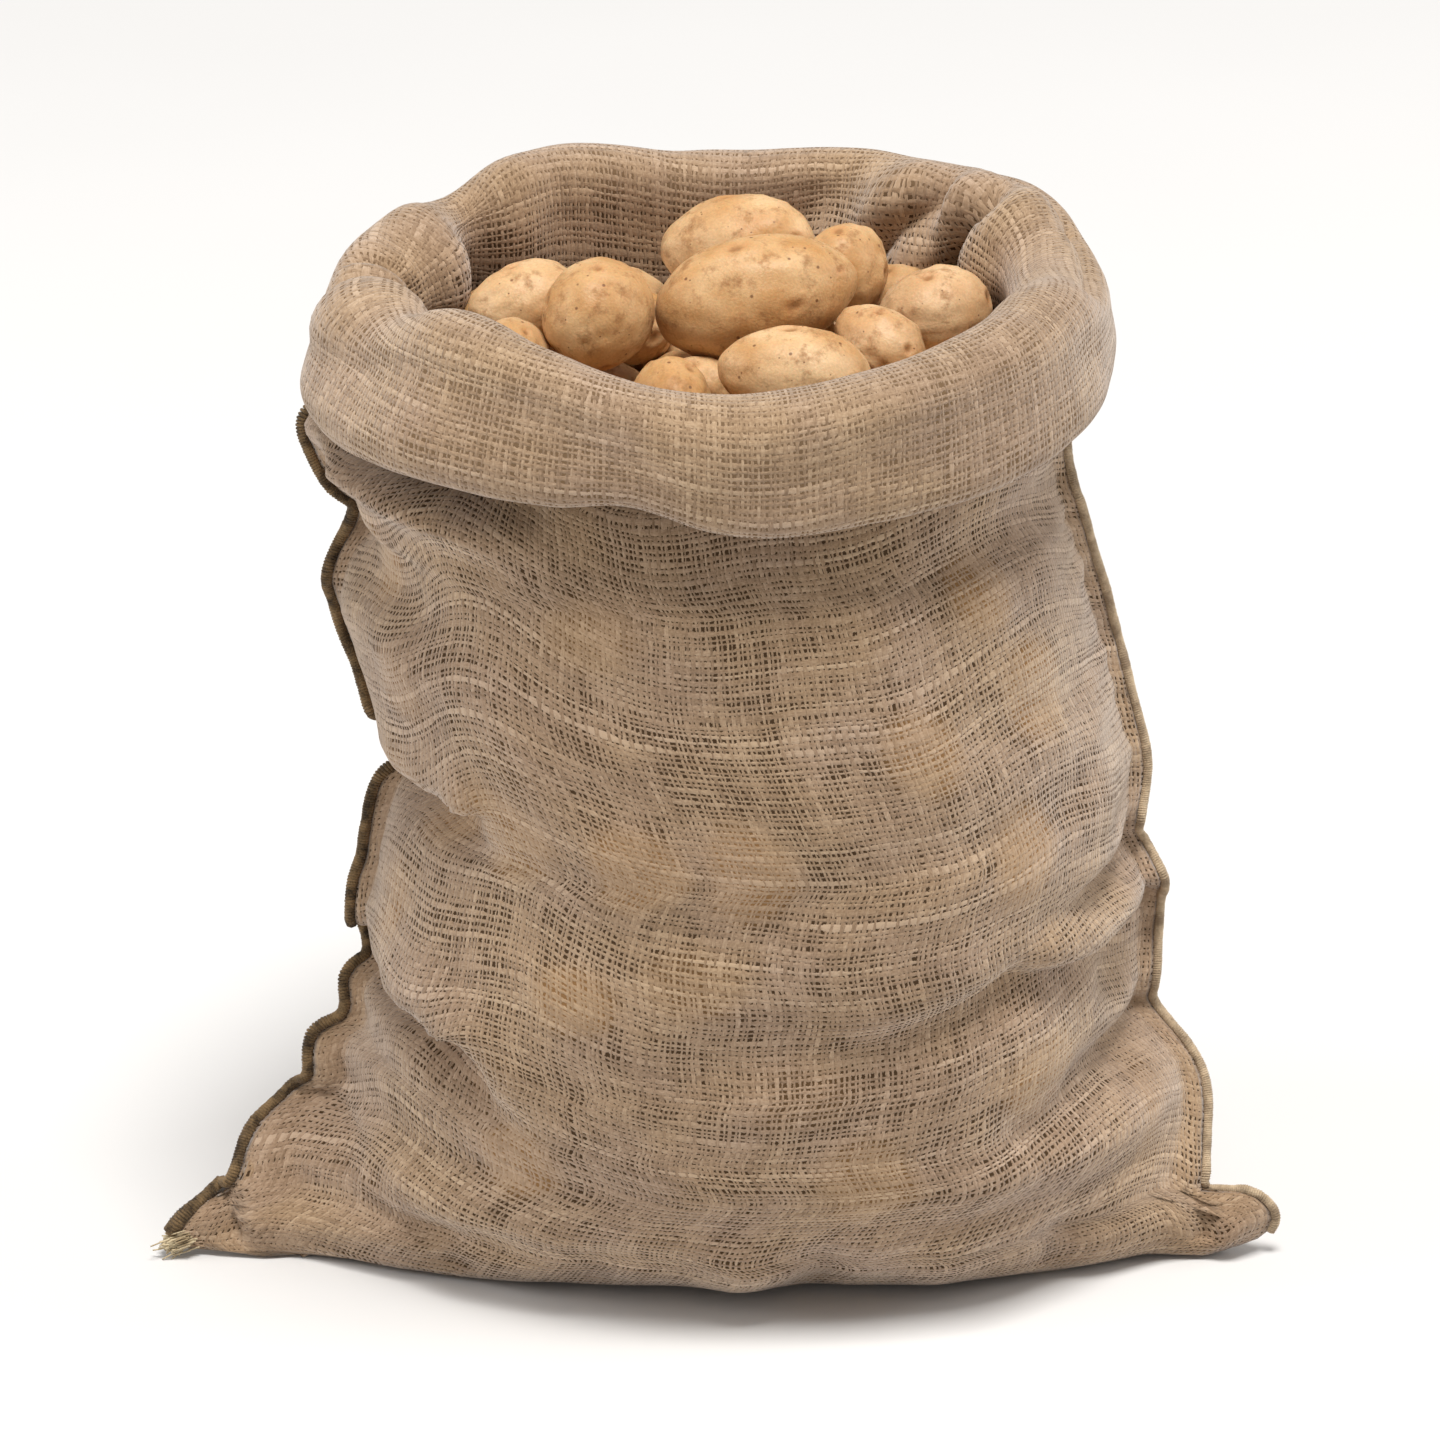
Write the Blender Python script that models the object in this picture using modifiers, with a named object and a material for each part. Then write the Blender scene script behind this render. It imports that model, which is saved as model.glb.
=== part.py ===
"""A full hessian sack standing on its own, its mouth rolled down into a fat cuff, heaped with potatoes.

The sack is one length of hessian, folded across its bottom and overlocked up both sides. The cloth is
modelled the way it is made: a flat grid, whose columns run around the sack and whose rows run from the
bottom fold up the wall, over the rim and down the cuff to the hem, is carried to its hanging shape and
then closed along its two sewn sides. Units are metres, +Z is up, and the sack stands on z = 0 with the
viewer's side, its front, towards -Y.
"""

import math
from collections import namedtuple
from functools import lru_cache

import bmesh
import bpy
from mathutils import Euler, Matrix, Vector, noise

CLOTH_THICKNESS = 0.002

# The cloth's grid.
HALF_COLUMNS = 30  # across the front, and again across the back
FLAT_COLUMNS = 2  # of those, the ones that lie in the flat strip beside each seam
COLUMNS = 2 * HALF_COLUMNS
UNDERSIDE_ROWS = 2  # between the bottom fold and the edge of the patch that rests on the floor

# Exponents of the superellipses that the sections follow.
BELLY_SQUARENESS = 0.72
MOUTH_SQUARENESS = 0.88
MOUTH_FULLNESS = 0.94

# The cloth's outline by height. Each sewn edge has its place (x, y), the width of the flat strip beside
# it, half that strip's thickness, and how softly the belly rises from it (its pinch). Then come the
# lines that the middle of the front and of the back reach.
Level = namedtuple(
    "Level",
    "height left_x left_y left_flat left_puff left_pinch"
    " right_x right_y right_flat right_puff right_pinch front back",
)
LEVELS = (
    Level(0.0000, -0.2140, -0.046, 0.030, 0.0034, 2.2, 0.2140, -0.044, 0.030, 0.0045, 1.8, -0.070, 0.086),
    Level(0.0040, -0.2360, -0.046, 0.042, 0.0036, 2.4, 0.2300, -0.044, 0.034, 0.0065, 1.9, -0.081, 0.096),
    Level(0.0080, -0.2380, -0.046, 0.046, 0.0037, 2.4, 0.2375, -0.044, 0.036, 0.0080, 1.9, -0.088, 0.102),
    Level(0.0140, -0.2350, -0.046, 0.042, 0.0038, 2.4, 0.2415, -0.044, 0.037, 0.0095, 1.9, -0.095, 0.107),
    Level(0.0200, -0.2290, -0.043, 0.036, 0.0038, 2.3, 0.2415, -0.044, 0.037, 0.0100, 1.9, -0.102, 0.112),
    Level(0.0255, -0.2180, -0.039, 0.031, 0.0038, 2.2, 0.2375, -0.044, 0.035, 0.0095, 1.9, -0.107, 0.116),
    Level(0.0300, -0.2115, -0.036, 0.027, 0.0038, 2.2, 0.2300, -0.043, 0.030, 0.0080, 1.9, -0.111, 0.119),
    Level(0.0335, -0.2095, -0.034, 0.025, 0.0037, 2.2, 0.2135, -0.039, 0.014, 0.0055, 1.7, -0.113, 0.120),
    Level(0.0420, -0.2065, -0.027, 0.020, 0.0035, 2.0, 0.2125, -0.032, 0.012, 0.0046, 1.6, -0.119, 0.124),
    Level(0.0520, -0.1995, -0.019, 0.017, 0.0034, 1.9, 0.2125, -0.019, 0.010, 0.0036, 1.6, -0.123, 0.127),
    Level(0.0610, -0.1860, -0.012, 0.014, 0.0034, 1.8, 0.2130, -0.011, 0.009, 0.0034, 1.5, -0.127, 0.130),
    Level(0.0700, -0.1775, -0.010, 0.014, 0.0034, 1.7, 0.2115, -0.003, 0.008, 0.0034, 1.4, -0.130, 0.131),
    Level(0.0800, -0.1775, -0.008, 0.014, 0.0034, 1.7, 0.2040, 0.002, 0.008, 0.0034, 1.4, -0.132, 0.133),
    Level(0.0900, -0.1745, -0.006, 0.012, 0.0034, 1.6, 0.1925, 0.005, 0.008, 0.0034, 1.3, -0.133, 0.134),
    Level(0.0965, -0.1630, -0.005, 0.008, 0.0034, 1.4, 0.1890, 0.006, 0.008, 0.0034, 1.3, -0.134, 0.135),
    Level(0.1140, -0.1610, -0.002, 0.007, 0.0034, 1.3, 0.1910, 0.009, 0.008, 0.0034, 1.3, -0.135, 0.136),
    Level(0.1205, -0.1510, 0.000, 0.006, 0.0034, 1.2, 0.1915, 0.010, 0.008, 0.0034, 1.3, -0.135, 0.136),
    Level(0.1400, -0.1570, 0.000, 0.006, 0.0034, 1.1, 0.1925, 0.010, 0.008, 0.0034, 1.3, -0.136, 0.137),
    Level(0.1580, -0.1565, 0.000, 0.006, 0.0034, 1.1, 0.1935, 0.010, 0.008, 0.0034, 1.2, -0.136, 0.137),
    Level(0.1720, -0.1525, 0.000, 0.006, 0.0034, 1.1, 0.1850, 0.007, 0.007, 0.0034, 1.2, -0.135, 0.136),
    Level(0.1830, -0.1510, 0.000, 0.006, 0.0034, 1.1, 0.1805, 0.004, 0.007, 0.0034, 1.2, -0.134, 0.136),
    Level(0.2090, -0.1440, 0.000, 0.006, 0.0034, 1.1, 0.1840, 0.005, 0.007, 0.0034, 1.1, -0.133, 0.135),
    Level(0.2185, -0.1275, 0.000, 0.006, 0.0034, 1.1, 0.1835, 0.006, 0.006, 0.0034, 1.1, -0.133, 0.135),
    Level(0.2280, -0.1330, 0.000, 0.006, 0.0034, 1.0, 0.1815, 0.008, 0.006, 0.0034, 1.1, -0.133, 0.135),
    Level(0.2450, -0.1475, 0.000, 0.006, 0.0034, 1.0, 0.1770, 0.010, 0.006, 0.0034, 1.1, -0.132, 0.134),
    Level(0.2950, -0.1665, 0.000, 0.006, 0.0034, 1.0, 0.1635, 0.010, 0.006, 0.0034, 1.1, -0.128, 0.130),
    Level(0.3355, -0.1525, 0.000, 0.008, 0.0034, 1.1, 0.1530, 0.000, 0.006, 0.0034, 1.1, -0.122, 0.125),
    Level(0.3430, -0.1620, 0.000, 0.009, 0.0034, 1.1, 0.1500, 0.000, 0.006, 0.0034, 1.1, -0.120, 0.124),
    Level(0.3600, -0.1710, 0.000, 0.015, 0.0034, 1.2, 0.1465, 0.000, 0.006, 0.0034, 1.1, -0.115, 0.120),
    Level(0.3780, -0.1720, 0.000, 0.014, 0.0034, 1.2, 0.1460, 0.000, 0.006, 0.0034, 1.0, -0.111, 0.116),
    Level(0.3880, -0.1500, 0.000, 0.006, 0.0034, 1.0, 0.1440, 0.000, 0.006, 0.0034, 1.0, -0.108, 0.114),
)
# The outside of the rolled mouth.
MOUTH = Level(0.425, -0.166, 0.000, 0.006, 0.0034, 1.0, 0.164, 0.000, 0.006, 0.0034, 1.0, -0.135, 0.140)
ROUNDING_FROM = 0.346  # above this height the pinched section opens into the mouth's oval

# The roll, going around from the left seam (0) past the front (0.25), the right seam (0.5) and the back:
# the height of its top and of the cuff's lower edge, its radius, how far it stands out from the oval, and
# how far its cuff flares out below.
Roll = namedtuple("Roll", "around crest lower_edge radius swell flare")
ROLLS = (
    Roll(0.000, 0.436, 0.398, 0.0165, -0.001, 0.002),
    Roll(0.040, 0.443, 0.398, 0.0195, 0.001, 0.005),
    Roll(0.085, 0.439, 0.396, 0.0165, -0.002, 0.007),
    Roll(0.135, 0.448, 0.400, 0.0165, 0.001, 0.007),
    Roll(0.190, 0.444, 0.391, 0.0155, 0.000, 0.004),
    Roll(0.225, 0.435, 0.390, 0.0165, 0.001, 0.001),
    Roll(0.255, 0.431, 0.379, 0.0170, 0.001, 0.002),
    Roll(0.310, 0.437, 0.381, 0.0160, -0.001, 0.003),
    Roll(0.370, 0.447, 0.387, 0.0180, 0.001, 0.003),
    Roll(0.430, 0.451, 0.395, 0.0205, 0.000, 0.003),
    Roll(0.500, 0.443, 0.401, 0.0195, -0.001, 0.002),
    Roll(0.550, 0.447, 0.402, 0.0185, 0.000, 0.002),
    Roll(0.600, 0.453, 0.400, 0.0165, 0.001, 0.002),
    Roll(0.650, 0.450, 0.397, 0.0145, 0.000, 0.002),
    Roll(0.700, 0.450, 0.395, 0.0135, -0.001, 0.002),
    Roll(0.760, 0.446, 0.392, 0.0130, 0.000, 0.002),
    Roll(0.815, 0.453, 0.395, 0.0140, 0.001, 0.002),
    Roll(0.865, 0.444, 0.393, 0.0145, -0.001, 0.002),
    Roll(0.930, 0.440, 0.394, 0.0175, 0.001, 0.002),
)
CREST_ANGLES = (155, 120, 88, 56, 26, -4)  # degrees around the roll's top, from its inner side
CURL_RADIUS = 0.007  # of the turn at the cuff's lower edge
CURL_ANGLES = (-20, -65, -115, -170)
HEM_LENGTH = 0.024  # of cloth turned up again behind the cuff
SHOULDER = 0.012  # how far below the roll the wall begins to bend outwards

# Folds pressed into the wall below the rim, where the mouth's spare cloth is tucked inwards.
Pleat = namedtuple("Pleat", "around width depth")
PLEATS = (
    Pleat(0.585, 0.018, 0.012),
    Pleat(0.655, 0.022, 0.012),
    Pleat(0.930, 0.022, 0.008),
)

# Creases: soft troughs across the wall, from (x0, z0) to (x1, z1) in the front or back view. Below 0 the
# depth makes a ridge. lean is how much the full cloth on the left of that run (above 0) or on its right
# (below 0) hangs over it.
Crease = namedtuple("Crease", "side x0 z0 x1 z1 depth width lean")
CREASES = (
    Crease("front", -0.137, 0.238, -0.118, 0.239, 0.0160, 0.011, 1.0),
    Crease("front", -0.118, 0.239, -0.107, 0.224, 0.0100, 0.009, 0.7),
    Crease("front", -0.158, 0.134, -0.126, 0.136, 0.0170, 0.012, 1.0),
    Crease("front", -0.126, 0.136, -0.106, 0.116, 0.0160, 0.012, 1.0),
    Crease("front", -0.106, 0.116, -0.090, 0.096, 0.0100, 0.012, 0.6),
    Crease("front", -0.184, 0.062, -0.150, 0.054, 0.0060, 0.010, 0.2),
    Crease("front", 0.186, 0.146, 0.128, 0.161, 0.0120, 0.012, -0.7),
    Crease("front", 0.128, 0.161, 0.060, 0.141, 0.0085, 0.014, -0.4),
    Crease("front", 0.060, 0.141, 0.010, 0.128, 0.0035, 0.016, 0.0),
    Crease("front", 0.190, 0.173, 0.142, 0.181, 0.0070, 0.008, 0.0),
    Crease("front", 0.192, 0.161, 0.142, 0.172, -0.0040, 0.007, 0.0),
    Crease("front", 0.182, 0.187, 0.146, 0.194, -0.0040, 0.008, 0.0),
    Crease("front", 0.146, 0.229, 0.084, 0.228, 0.0045, 0.014, 0.0),
    Crease("front", 0.084, 0.228, 0.008, 0.204, 0.0030, 0.016, 0.0),
    Crease("front", 0.188, 0.127, 0.160, 0.131, 0.0060, 0.009, 0.0),
    Crease("front", 0.196, 0.094, 0.160, 0.100, 0.0080, 0.010, -0.5),
    Crease("front", 0.160, 0.100, 0.110, 0.086, 0.0040, 0.014, 0.0),
    Crease("front", 0.2135, 0.031, 0.2105, 0.007, 0.0075, 0.0055, 0.0),
    Crease("front", -0.2150, 0.026, -0.2080, 0.005, 0.0040, 0.0070, 0.0),
    Crease("front", 0.040, 0.150, -0.050, 0.128, 0.0040, 0.018, 0.0),
    Crease("front", -0.160, 0.040, -0.060, 0.024, 0.0045, 0.011, 0.0),
    Crease("front", -0.156, 0.346, -0.060, 0.356, 0.0170, 0.014, 0.0),
    Crease("front", -0.160, 0.318, -0.110, 0.322, 0.0050, 0.010, 0.0),
    Crease("front", -0.060, 0.330, -0.040, 0.270, 0.0025, 0.014, 0.0),
    Crease("front", 0.140, 0.352, 0.060, 0.340, 0.0050, 0.012, 0.0),
    Crease("front", -0.160, 0.286, -0.100, 0.276, 0.0040, 0.012, 0.0),
    Crease("front", 0.170, 0.268, 0.110, 0.280, 0.0040, 0.012, 0.0),
    Crease("back", 0.186, 0.186, 0.090, 0.216, 0.0110, 0.012, 0.0),
    Crease("back", 0.196, 0.092, 0.100, 0.058, 0.0120, 0.014, 0.0),
    Crease("back", -0.156, 0.150, -0.056, 0.108, 0.0110, 0.014, 0.0),
    Crease("back", -0.140, 0.258, -0.046, 0.292, 0.0070, 0.014, 0.0),
    Crease("back", 0.050, 0.064, -0.070, 0.042, 0.0060, 0.013, 0.0),
    Crease("back", 0.120, 0.350, 0.030, 0.330, 0.0060, 0.012, 0.0),
    Crease("back", -0.170, 0.080, -0.110, 0.040, 0.0080, 0.012, 0.0),
)
BUMP_SIZE = 0.075  # spacing of the soft bulges that the potatoes press into the cloth
BUMP_HEIGHT = 0.0028
BUMP_SEED = Vector((3.1, 7.4, 1.9))
CREASE_FOOT = 0.014  # creases and bulges fade out below this height, and between the next two
CREASE_TOP = 0.356
CREASE_END = 0.382
DENT_REACH = 0.036  # how far up and down a sewn edge is averaged to find its calmer run
DENT_FOOT = (0.075, 0.110)  # its dents stay local above this step and below the next
DENT_TOP = (0.330, 0.350)
SEAM_TUCK = Vector((0.003, 0.006, 0.0))  # the left seam's middle lies this far in and behind the belly,
TUCK_FOOT = (0.240, 0.268)  # from this step up to the next
TUCK_TOP = (0.284, 0.312)
BROW_RISE = 0.28  # how far the full cloth beside a leaning crease stands out, as a share of its depth
BROW_HANG = 0.5  # and how far it slides over the crease
SEAM_SLIDE = 0.4  # the share of that slide that the flat strips beside the seams take

# The right bottom corner curls up: by how much, between which x, and below which heights.
EAR_LIFT = 0.010
EAR_FROM = 0.212
EAR_TO = 0.236
EAR_TOP = 0.034
EAR_TOP_END = 0.060

# The overlocked edge: two raw edges bound together by a thick thread.
SEAM_RADIUS = 0.0026
SEAM_GAP = 0.0007  # between the thread and the cloth's edge
SEAM_FOOT = 0.008  # the height of its lower end, at the corner of the bottom fold

# The potatoes that show, their centres, their full sizes and how they lie.
Potato = namedtuple("Potato", "name x y z length width height turn tilt taper")
POTATOES = (
    Potato("potato_large", 0.0165, -0.003, 0.4310, 0.086, 0.051, 0.052, 10, 10, -0.08),
    Potato("potato_top", 0.009, 0.055, 0.4310, 0.066, 0.044, 0.045, -8, 4, 0.08),
    Potato("potato_knob", 0.0545, 0.0365, 0.4275, 0.041, 0.034, 0.042, 60, 10, -0.08),
    Potato("potato_left", -0.081, 0.022, 0.4180, 0.050, 0.038, 0.036, 12, 6, 0.12),
    Potato("potato_round", -0.050, -0.018, 0.4290, 0.051, 0.045, 0.046, 60, 0, 0.05),
    Potato("potato_low_left", -0.086, -0.030, 0.4120, 0.042, 0.032, 0.036, 80, 0, 0.06),
    Potato("potato_low_centre", -0.019, -0.061, 0.4060, 0.040, 0.034, 0.038, 100, 0, 0.06),
    Potato("potato_front", 0.032, -0.056, 0.4170, 0.064, 0.042, 0.040, -4, -6, 0.08),
    Potato("potato_small", 0.0670, -0.0250, 0.4190, 0.042, 0.030, 0.031, -38, -18, 0.12),
    Potato("potato_right", 0.091, 0.021, 0.4145, 0.051, 0.040, 0.038, 30, 4, 0.10),
    Potato("potato_back", -0.047, 0.071, 0.3960, 0.058, 0.042, 0.038, 4, 0, 0.06),
    Potato("potato_centre", -0.036, 0.032, 0.4040, 0.036, 0.032, 0.032, 15, 0, 0.06),
    Potato("potato_mid_front", -0.009, -0.027, 0.3970, 0.036, 0.028, 0.032, 0, 0, 0.04),
    Potato("potato_front_left", -0.060, -0.064, 0.4020, 0.050, 0.034, 0.034, -34, 0, 0.08),
    Potato("potato_front_right", 0.083, -0.053, 0.3990, 0.050, 0.034, 0.034, 38, 0, 0.08),
    Potato("potato_back_right", 0.077, 0.062, 0.4030, 0.042, 0.032, 0.034, -38, 0, 0.06),
    Potato("potato_back_left", -0.0935, 0.056, 0.3990, 0.040, 0.029, 0.032, 40, 0, 0.06),
)
POTATO_SEGMENTS = 12
POTATO_RINGS = 8

# The potatoes below them, which don't show, are one heap.
HEAP_CLEARANCE = 0.0166  # between the heap and the cloth's inner side
HEAP_FOOT = 0.0035
HEAP_MIN_BELLY = 0.050  # the heap begins where the front and the back are this far apart
HEAP_COLUMNS = 36
HEAP_LEVELS = (0.0, 0.014, 0.042, 0.080, 0.105, 0.125, 0.150, 0.172, 0.209, 0.228, 0.245, 0.295, 0.343, 0.388)
HEAP_CROWN_HEIGHT = 0.416
HEAP_DOME = ((0.14, 0.30), (0.40, 0.72), (0.70, 0.94), (1.00, 1.00))  # (share of the way in, of the rise)
SOCKET_GROWTH = 0.0008  # a potato's socket in the heap is this much larger all round

HESSIAN = ("hessian", (0.31, 0.21, 0.135), 0.95)
OVERLOCK = ("overlock_thread", (0.22, 0.15, 0.09), 0.95)
POTATO_SKIN = ("potato_skin", (0.68, 0.39, 0.18), 0.55)


def clear_scene():
    """Removes whatever the open file holds."""
    for thing in list(bpy.data.objects):
        bpy.data.objects.remove(thing)


def collection_named(name):
    """A new collection in the scene."""
    made = bpy.data.collections.new(name)
    bpy.context.scene.collection.children.link(made)
    return made


def material(finish):
    """The Principled material for a finish of (name, colour, roughness)."""
    name, colour, roughness = finish
    found = bpy.data.materials.get(name)
    if found:
        return found
    made = bpy.data.materials.new(name)
    made.use_nodes = True
    shader = made.node_tree.nodes["Principled BSDF"]
    shader.inputs["Base Color"].default_value = (*colour, 1.0)
    shader.inputs["Roughness"].default_value = roughness
    shader.inputs["Metallic"].default_value = 0.0
    return made


def smoothstep(low, high, value):
    """0 below low, 1 above high, and a soft step between."""
    share = min(1.0, max(0.0, (value - low) / (high - low)))
    return share * share * (3.0 - 2.0 * share)


def hermite(before, start, end, after, share):
    """A Catmull-Rom curve from start to end, for (position, value) pairs."""
    span = end[0] - start[0]
    slope_in = (end[1] - before[1]) / (end[0] - before[0])
    slope_out = (after[1] - start[1]) / (after[0] - start[0])
    square, cube = share * share, share * share * share
    return (
        start[1] * (2 * cube - 3 * square + 1)
        + end[1] * (3 * square - 2 * cube)
        + slope_in * span * (cube - 2 * square + share)
        + slope_out * span * (cube - square)
    )


def along(rows, key, column, position, period=None):
    """The value of a table's column at a position between its rows, on a smooth curve.

    With a period the table closes on itself.
    """
    knots = [(getattr(row, key), getattr(row, column)) for row in rows]
    if period:
        position %= period
        knots = (
            [(k - period, v) for k, v in knots[-2:]]
            + knots
            + [(k + period, v) for k, v in knots[:2]]
        )
    if position <= knots[0][0]:
        return knots[0][1]
    if position >= knots[-1][0]:
        return knots[-1][1]
    index = max(i for i, knot in enumerate(knots) if knot[0] <= position)
    start, end = knots[index], knots[index + 1]
    before = knots[index - 1] if index > 0 else start
    after = knots[index + 2] if index + 2 < len(knots) else end
    share = (position - start[0]) / (end[0] - start[0])
    return hermite(before, start, end, after, share)


@lru_cache(maxsize=None)
def level_at(height):
    """The outline of the cloth at any height up to the roll."""
    return Level(height, *(along(LEVELS, "height", column, height) for column in Level._fields[1:]))


@lru_cache(maxsize=None)
def edge_dents(height):
    """How far the two sewn edges step aside, at one height, from their own calmer run."""
    near = [level_at(height + DENT_REACH * step / 3) for step in range(-3, 4)]
    amount = smoothstep(*DENT_FOOT, height) * (1.0 - smoothstep(*DENT_TOP, height))
    left = level_at(height).left_x - sum(level.left_x for level in near) / len(near)
    right = level_at(height).right_x - sum(level.right_x for level in near) / len(near)
    return left * amount, right * amount


def signed_power(value, exponent):
    """A power that keeps its base's sign."""
    return math.copysign(abs(value) ** exponent, value)


def column_at(around):
    """Whether a place around the sack is at its front, and its column from the left seam (0)."""
    around %= 1.0
    front = around <= 0.5
    return front, 2.0 * HALF_COLUMNS * (around if front else 1.0 - around)


def seam_line(level, x):
    """The y of the line from one sewn edge to the other."""
    share = (x - level.left_x) / (level.right_x - level.left_x)
    return level.left_y + (level.right_y - level.left_y) * share


def belly_point(level, column, front):
    """A point of the filled section, pinched to a flat strip beside each seam.

    The sewn edges' dents fade within 5 cm, so the belly between them stays full.
    """
    on_left = column < HALF_COLUMNS / 2
    from_edge = column if on_left else HALF_COLUMNS - column
    puff, pinch = level.left_puff, level.left_pinch
    if not on_left:
        puff, pinch = level.right_puff, level.right_pinch
    left, right = level.left_x + level.left_flat, level.right_x - level.right_flat
    angle = math.pi * (column - FLAT_COLUMNS) / (HALF_COLUMNS - 2 * FLAT_COLUMNS)
    angle = min(math.pi, max(0.0, angle))
    share = 0.5 - 0.5 * signed_power(math.cos(angle), BELLY_SQUARENESS)
    left_dent, right_dent = edge_dents(level.height)
    x = left + (right - left) * share
    x += left_dent * ((1.0 - share) ** 8 - (1.0 - share)) + right_dent * (share ** 8 - share)
    if from_edge < FLAT_COLUMNS:
        flat = from_edge / FLAT_COLUMNS
        x = level.left_x + level.left_flat * flat if on_left else level.right_x - level.right_flat * flat
    seam_y = seam_line(level, x)
    full = abs((level.front if front else level.back) - seam_y)
    bulge = full * max(0.0, math.sin(angle)) ** pinch
    thickness = math.hypot(puff * min(1.0, from_edge), bulge)
    return Vector((x, seam_y - thickness if front else seam_y + thickness, level.height))


def oval_point(level, column, front):
    """A point of the mouth's open oval section."""
    angle = math.pi * column / HALF_COLUMNS
    across = 0.5 - 0.5 * signed_power(math.cos(angle), MOUTH_SQUARENESS)
    x = level.left_x + (level.right_x - level.left_x) * across
    seam_y = seam_line(level, x)
    full = (level.front if front else level.back) - seam_y
    return Vector((x, seam_y + full * max(0.0, math.sin(angle)) ** MOUTH_FULLNESS, level.height))


def wall_point(around, height):
    """A point of the wall's outer face, before its creases. around runs from 0 to 1."""
    front, column = column_at(around)
    level = level_at(height)
    opening = smoothstep(ROUNDING_FROM, LEVELS[-1].height, height)
    return belly_point(level, column, front).lerp(oval_point(level, column, front), opening)


def mouth_point(around, _height=None):
    """A point of the oval that the rolled mouth's outside follows."""
    front, column = column_at(around)
    return oval_point(MOUTH, column, front)


def crease_move(point, side):
    """How far a side's creases press the wall in at a point, and how far its cloth slides over them."""
    depth, slid = 0.0, Vector((0.0, 0.0, 0.0))
    for crease in CREASES:
        if crease.side != side:
            continue
        start = Vector((crease.x0, crease.z0))
        run = Vector((crease.x1, crease.z1)) - start
        here = Vector((point.x, point.z)) - start
        share = min(1.0, max(0.0, here.dot(run) / run.length_squared))
        offset = here - run * share
        across = Vector((run.y, -run.x)).normalized() * math.copysign(1.0, crease.lean)
        full = smoothstep(-0.5, 0.5, -here.dot(across) / crease.width)
        lean = abs(crease.lean)
        away = offset.length / crease.width
        near = away / (1.0 + 0.35 * lean - 0.85 * lean * full)
        fade = 1.0 if lean == 1.0 else 0.35 + 0.65 * (1.0 - smoothstep(0.55, 1.0, share))
        brow = full * lean * math.exp(-(((away - 1.2) / 0.8) ** 2))
        depth += crease.depth * fade * (math.exp(-near * near) - BROW_RISE * brow)
        hang = full * lean * math.exp(-(((away - 0.9) / 0.7) ** 2))
        slid += Vector((across.x, 0.0, across.y)) * (BROW_HANG * crease.depth * fade * hang)
    return depth, slid


def outward(outline, around, height=None):
    """The horizontal direction that points out of an outline at one place."""
    step = 0.004
    edge = outline(around + step, height) - outline(around - step, height)
    return Vector((edge.y, -edge.x, 0.0)).normalized()


def pleat_depth(around, height):
    """How far the mouth's tucked folds press the wall in."""
    depth = 0.0
    for pleat in PLEATS:
        away = abs((around - pleat.around + 0.5) % 1.0 - 0.5) / pleat.width
        depth += pleat.depth * math.exp(-away * away)
    return depth * smoothstep(0.350, 0.400, height)


def pressed(around, height):
    """A point of the wall with its creases, its pleats and the potatoes' bulges.

    Beside a seam the two layers move as one. Past that, the front and the back have their own creases.
    """
    point = wall_point(around, height)
    out = outward(wall_point, around, height)
    front, column = column_at(around)
    from_edge = min(column, HALF_COLUMNS - column)
    low = smoothstep(0.0, CREASE_FOOT, height)
    high = 1.0 - smoothstep(CREASE_TOP, CREASE_END, height)
    bump = BUMP_HEIGHT * noise.noise(point / BUMP_SIZE + BUMP_SEED) * high
    tuck = smoothstep(*TUCK_FOOT, height) * (1.0 - smoothstep(*TUCK_TOP, height))
    if column < HALF_COLUMNS / 2:
        point = point + SEAM_TUCK * (tuck * (1.0 - smoothstep(0.5, 3.0, from_edge)))
    depth, slid = crease_move(point, "front")
    strip = Vector((0.0, depth, 0.0)) + slid * SEAM_SLIDE
    if not front:
        depth, slid = crease_move(point, "back")
    belly = smoothstep(FLAT_COLUMNS, FLAT_COLUMNS + 3, from_edge)
    moved = strip.lerp(slid + out * (bump - depth), belly) * low * (0.25 + 0.75 * high)
    ear = smoothstep(EAR_FROM, EAR_TO, point.x + moved.x)
    ear *= 1.0 - smoothstep(EAR_TOP, EAR_TOP_END, height)
    return point + moved - out * pleat_depth(around, height) + Vector((0.0, 0.0, EAR_LIFT * ear))


def roll_at(around):
    """The roll's sizes at any place around it."""
    around %= 1.0
    return Roll(around, *(along(ROLLS, "around", c, around, period=1.0) for c in Roll._fields[1:]))


def roll_profile(roll):
    """The rolled mouth's section: (distance in from its outside, height) from the wall to the hem."""
    radius = roll.radius
    centre = roll.crest - radius
    profile = [(2.0 * radius, centre - SHOULDER)]
    for degrees in CREST_ANGLES:
        angle = math.radians(degrees)
        profile.append((radius - radius * math.cos(angle), centre + radius * math.sin(angle)))
    curl = roll.lower_edge + CURL_RADIUS
    profile.append((-0.5 * roll.flare, centre + (curl - centre) * 0.40))
    profile.append((-roll.flare, centre + (curl - centre) * 0.80))
    for degrees in CURL_ANGLES:
        angle = math.radians(degrees)
        reach = CURL_RADIUS * (1.0 - math.cos(angle)) - roll.flare
        profile.append((reach, curl + CURL_RADIUS * math.sin(angle)))
    profile.append((2.0 * CURL_RADIUS - roll.flare, curl + HEM_LENGTH))
    return profile


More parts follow.
